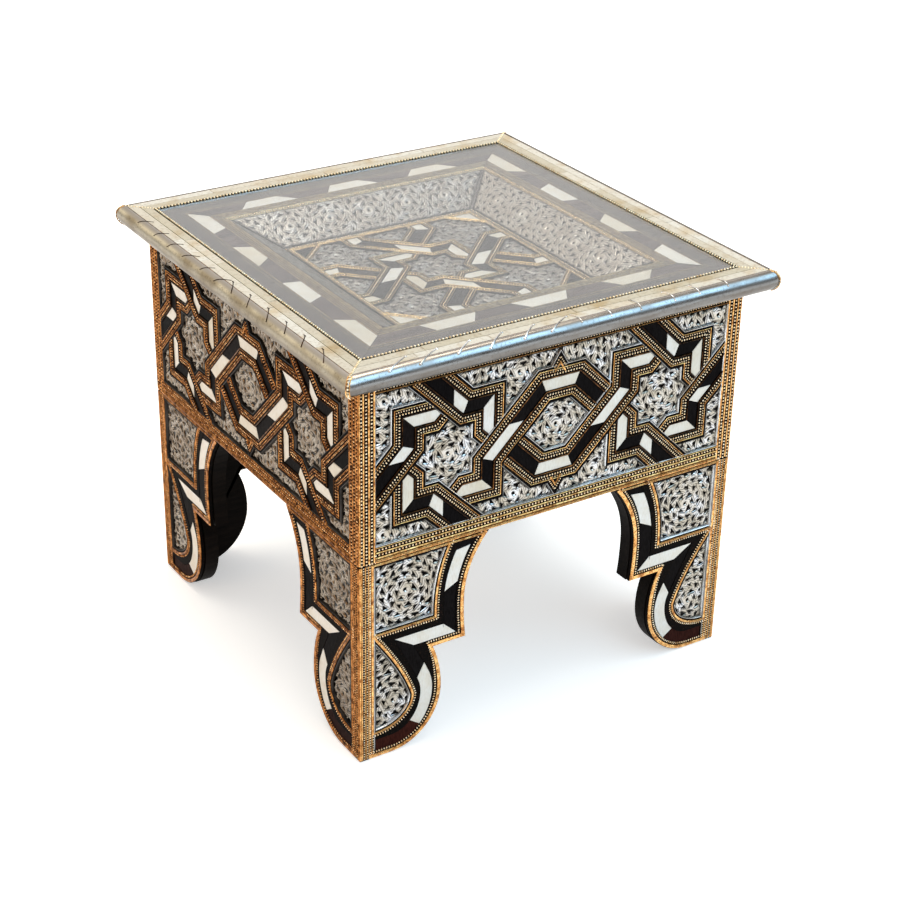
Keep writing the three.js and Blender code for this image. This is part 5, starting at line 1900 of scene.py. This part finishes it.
# Carried-over nodes take these finishes.
NODE_FINISHES = (
    (DARK_WOOD, ("apron_board", "rim_core", "leg_board", "corner_block", "tray_floor")),
    (TARNISHED, ("apron_silver_sheet", "tray_wall", "leg_silver_sheet")),
    (GROUND, ("apron_strapwork", "leg_strapwork", "tray_strapwork")),
    (NOSE_SILVER, ("rim_edging",)), (RIM_BONE, ("rim_bone",)), (WALNUT, ("frieze_rail",)),
    (STRIP_BRASS, ("glass_bead_wire",)), (GLASS, ("glass_pane",)),
)
for node_name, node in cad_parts.items():
    finish = next(material for material, starts in NODE_FINISHES if node_name.startswith(starts))
    node.data.materials.clear()
    node.data.materials.append(finish)


# Camera, floor and light

CAMERA_PLACE = (-1.0279, -1.6310, 1.2054)
# Yaw, pitch and roll
CAMERA_TURNS = (0.570854, -0.484225, 0.0185746)
CAMERA_LENS, SENSOR_WIDTH = 80.2, 36


def make_camera():
    yaw, pitch, roll = CAMERA_TURNS
    forward = Vector((math.sin(yaw) * math.cos(pitch), math.cos(yaw) * math.cos(pitch), math.sin(pitch)))
    right = Vector((math.cos(yaw), -math.sin(yaw), 0))
    up = right.cross(forward)
    across = right * math.cos(roll) + up * math.sin(roll)
    above = -right * math.sin(roll) + up * math.cos(roll)
    data = bpy.data.cameras.new("camera")
    data.lens = CAMERA_LENS
    data.sensor_width = SENSOR_WIDTH
    camera = place_object("camera", data)
    axes = Matrix((across, above, -forward)).transposed().to_4x4()
    camera.matrix_world = Matrix.Translation(CAMERA_PLACE) @ axes
    bpy.context.scene.camera = camera


# The floor's half width in metres, and how much white the background lends it
FLOOR_HALF = 6
FLOOR_LIFT = 0.5


def background_rays(tree):
    """1 for a ray from the camera, or one that metal or glass sends on, and 0 for the rest."""
    path = add_node(tree, "ShaderNodeLightPath").outputs
    seen = add_node(tree, "ShaderNodeMath", {0: path["Is Camera Ray"], 1: path["Is Glossy Ray"]},
                    operation="MAXIMUM")
    return add_node(tree, "ShaderNodeMath", {0: seen.outputs[0], 1: path["Is Transmission Ray"]},
                    operation="MAXIMUM").outputs[0]


def make_floor():
    mesh = bpy.data.meshes.new("floor")
    corners = rectangle(-FLOOR_HALF, -FLOOR_HALF, FLOOR_HALF, FLOOR_HALF)
    mesh.from_pydata([(x, y, 0) for x, y in corners], [], [(0, 1, 2, 3)])
    floor = place_object("floor", mesh)
    # Matt white paper. The seen background is lifted to white, and the shadow stays on it.
    material, tree, shader, _ = start_material("white_paper", Roughness=0.9)
    shader.inputs["Base Color"].default_value = linear("#F4F4F3")
    shader.inputs["Emission Color"].default_value = (1, 1, 1, 1)
    lift = add_node(tree, "ShaderNodeMath", {0: background_rays(tree), 1: FLOOR_LIFT}, operation="MULTIPLY")
    tree.links.new(lift.outputs[0], shader.inputs["Emission Strength"])
    mesh.materials.append(material)


# Area lamps in metres: place, (width, height), power in watts and colour. All face the table's middle.
LAMP_TARGET = (0, 0, 0.25)
LAMPS = (
    ("window", (1.1, -1.55, 1.88), (3.2, 1.5), 28, "#ACDCF8"),
    ("beige_wall", (-1.35, 2.25, 1.6), (3.0, 2.2), 20, "#F0E4CC"),
    ("veil_panel", (1.43, 2.26, 1.8), (2.6, 1.8), 15, "#E8E6E4"),
    ("warm_wall", (-2.6, -0.2, 1.2), (1.6, 1.4), 10, "#FFD09A"),
    ("overhead", (0.2, 0.3, 2.8), (1.8, 1.8), 52, "#FFF6E8"),
    ("front_fill", (-0.3, -2.6, 2.0), (1.6, 0.8), 12, "#F2F2F4"),
)
ROOM_STRENGTH = 0.75


def add_lamp(name, place, size, power, colour):
    data = bpy.data.lights.new(name, "AREA")
    data.shape = "RECTANGLE"
    data.size, data.size_y = size
    data.energy = power
    data.color = linear(colour)[:3]
    lamp = place_object(name, data)
    lamp.location = place
    lamp.rotation_mode = "QUATERNION"
    lamp.rotation_quaternion = (Vector(LAMP_TARGET) - Vector(place)).to_track_quat("-Z", "Y")


def make_light():
    world = bpy.data.worlds.new("studio")
    bpy.context.scene.world = world
    world.use_nodes = True
    tree = world.node_tree
    tree.nodes.clear()
    # A dim room with a pale ceiling
    direction = add_node(tree, "ShaderNodeTexCoord").outputs["Generated"]
    up = add_node(tree, "ShaderNodeSeparateXYZ", {0: direction}).outputs["Z"]
    room = add_node(tree, "ShaderNodeValToRGB", {"Fac": up},
                    ((0.0, "#8A847C"), (0.25, "#9C9A98"), (0.6, "#CDCCCB"), (1.0, "#E8E8E8")))
    soft = add_node(tree, "ShaderNodeBackground", {"Color": room.outputs[0], "Strength": ROOM_STRENGTH})
    add_node(tree, "ShaderNodeOutputWorld", {"Surface": soft.outputs[0]})
    for name, place, size, power, colour in LAMPS:
        add_lamp(name, place, size, power, colour)


make_camera()
make_floor()
make_light()
bpy.context.scene.view_settings.view_transform = "Standard"
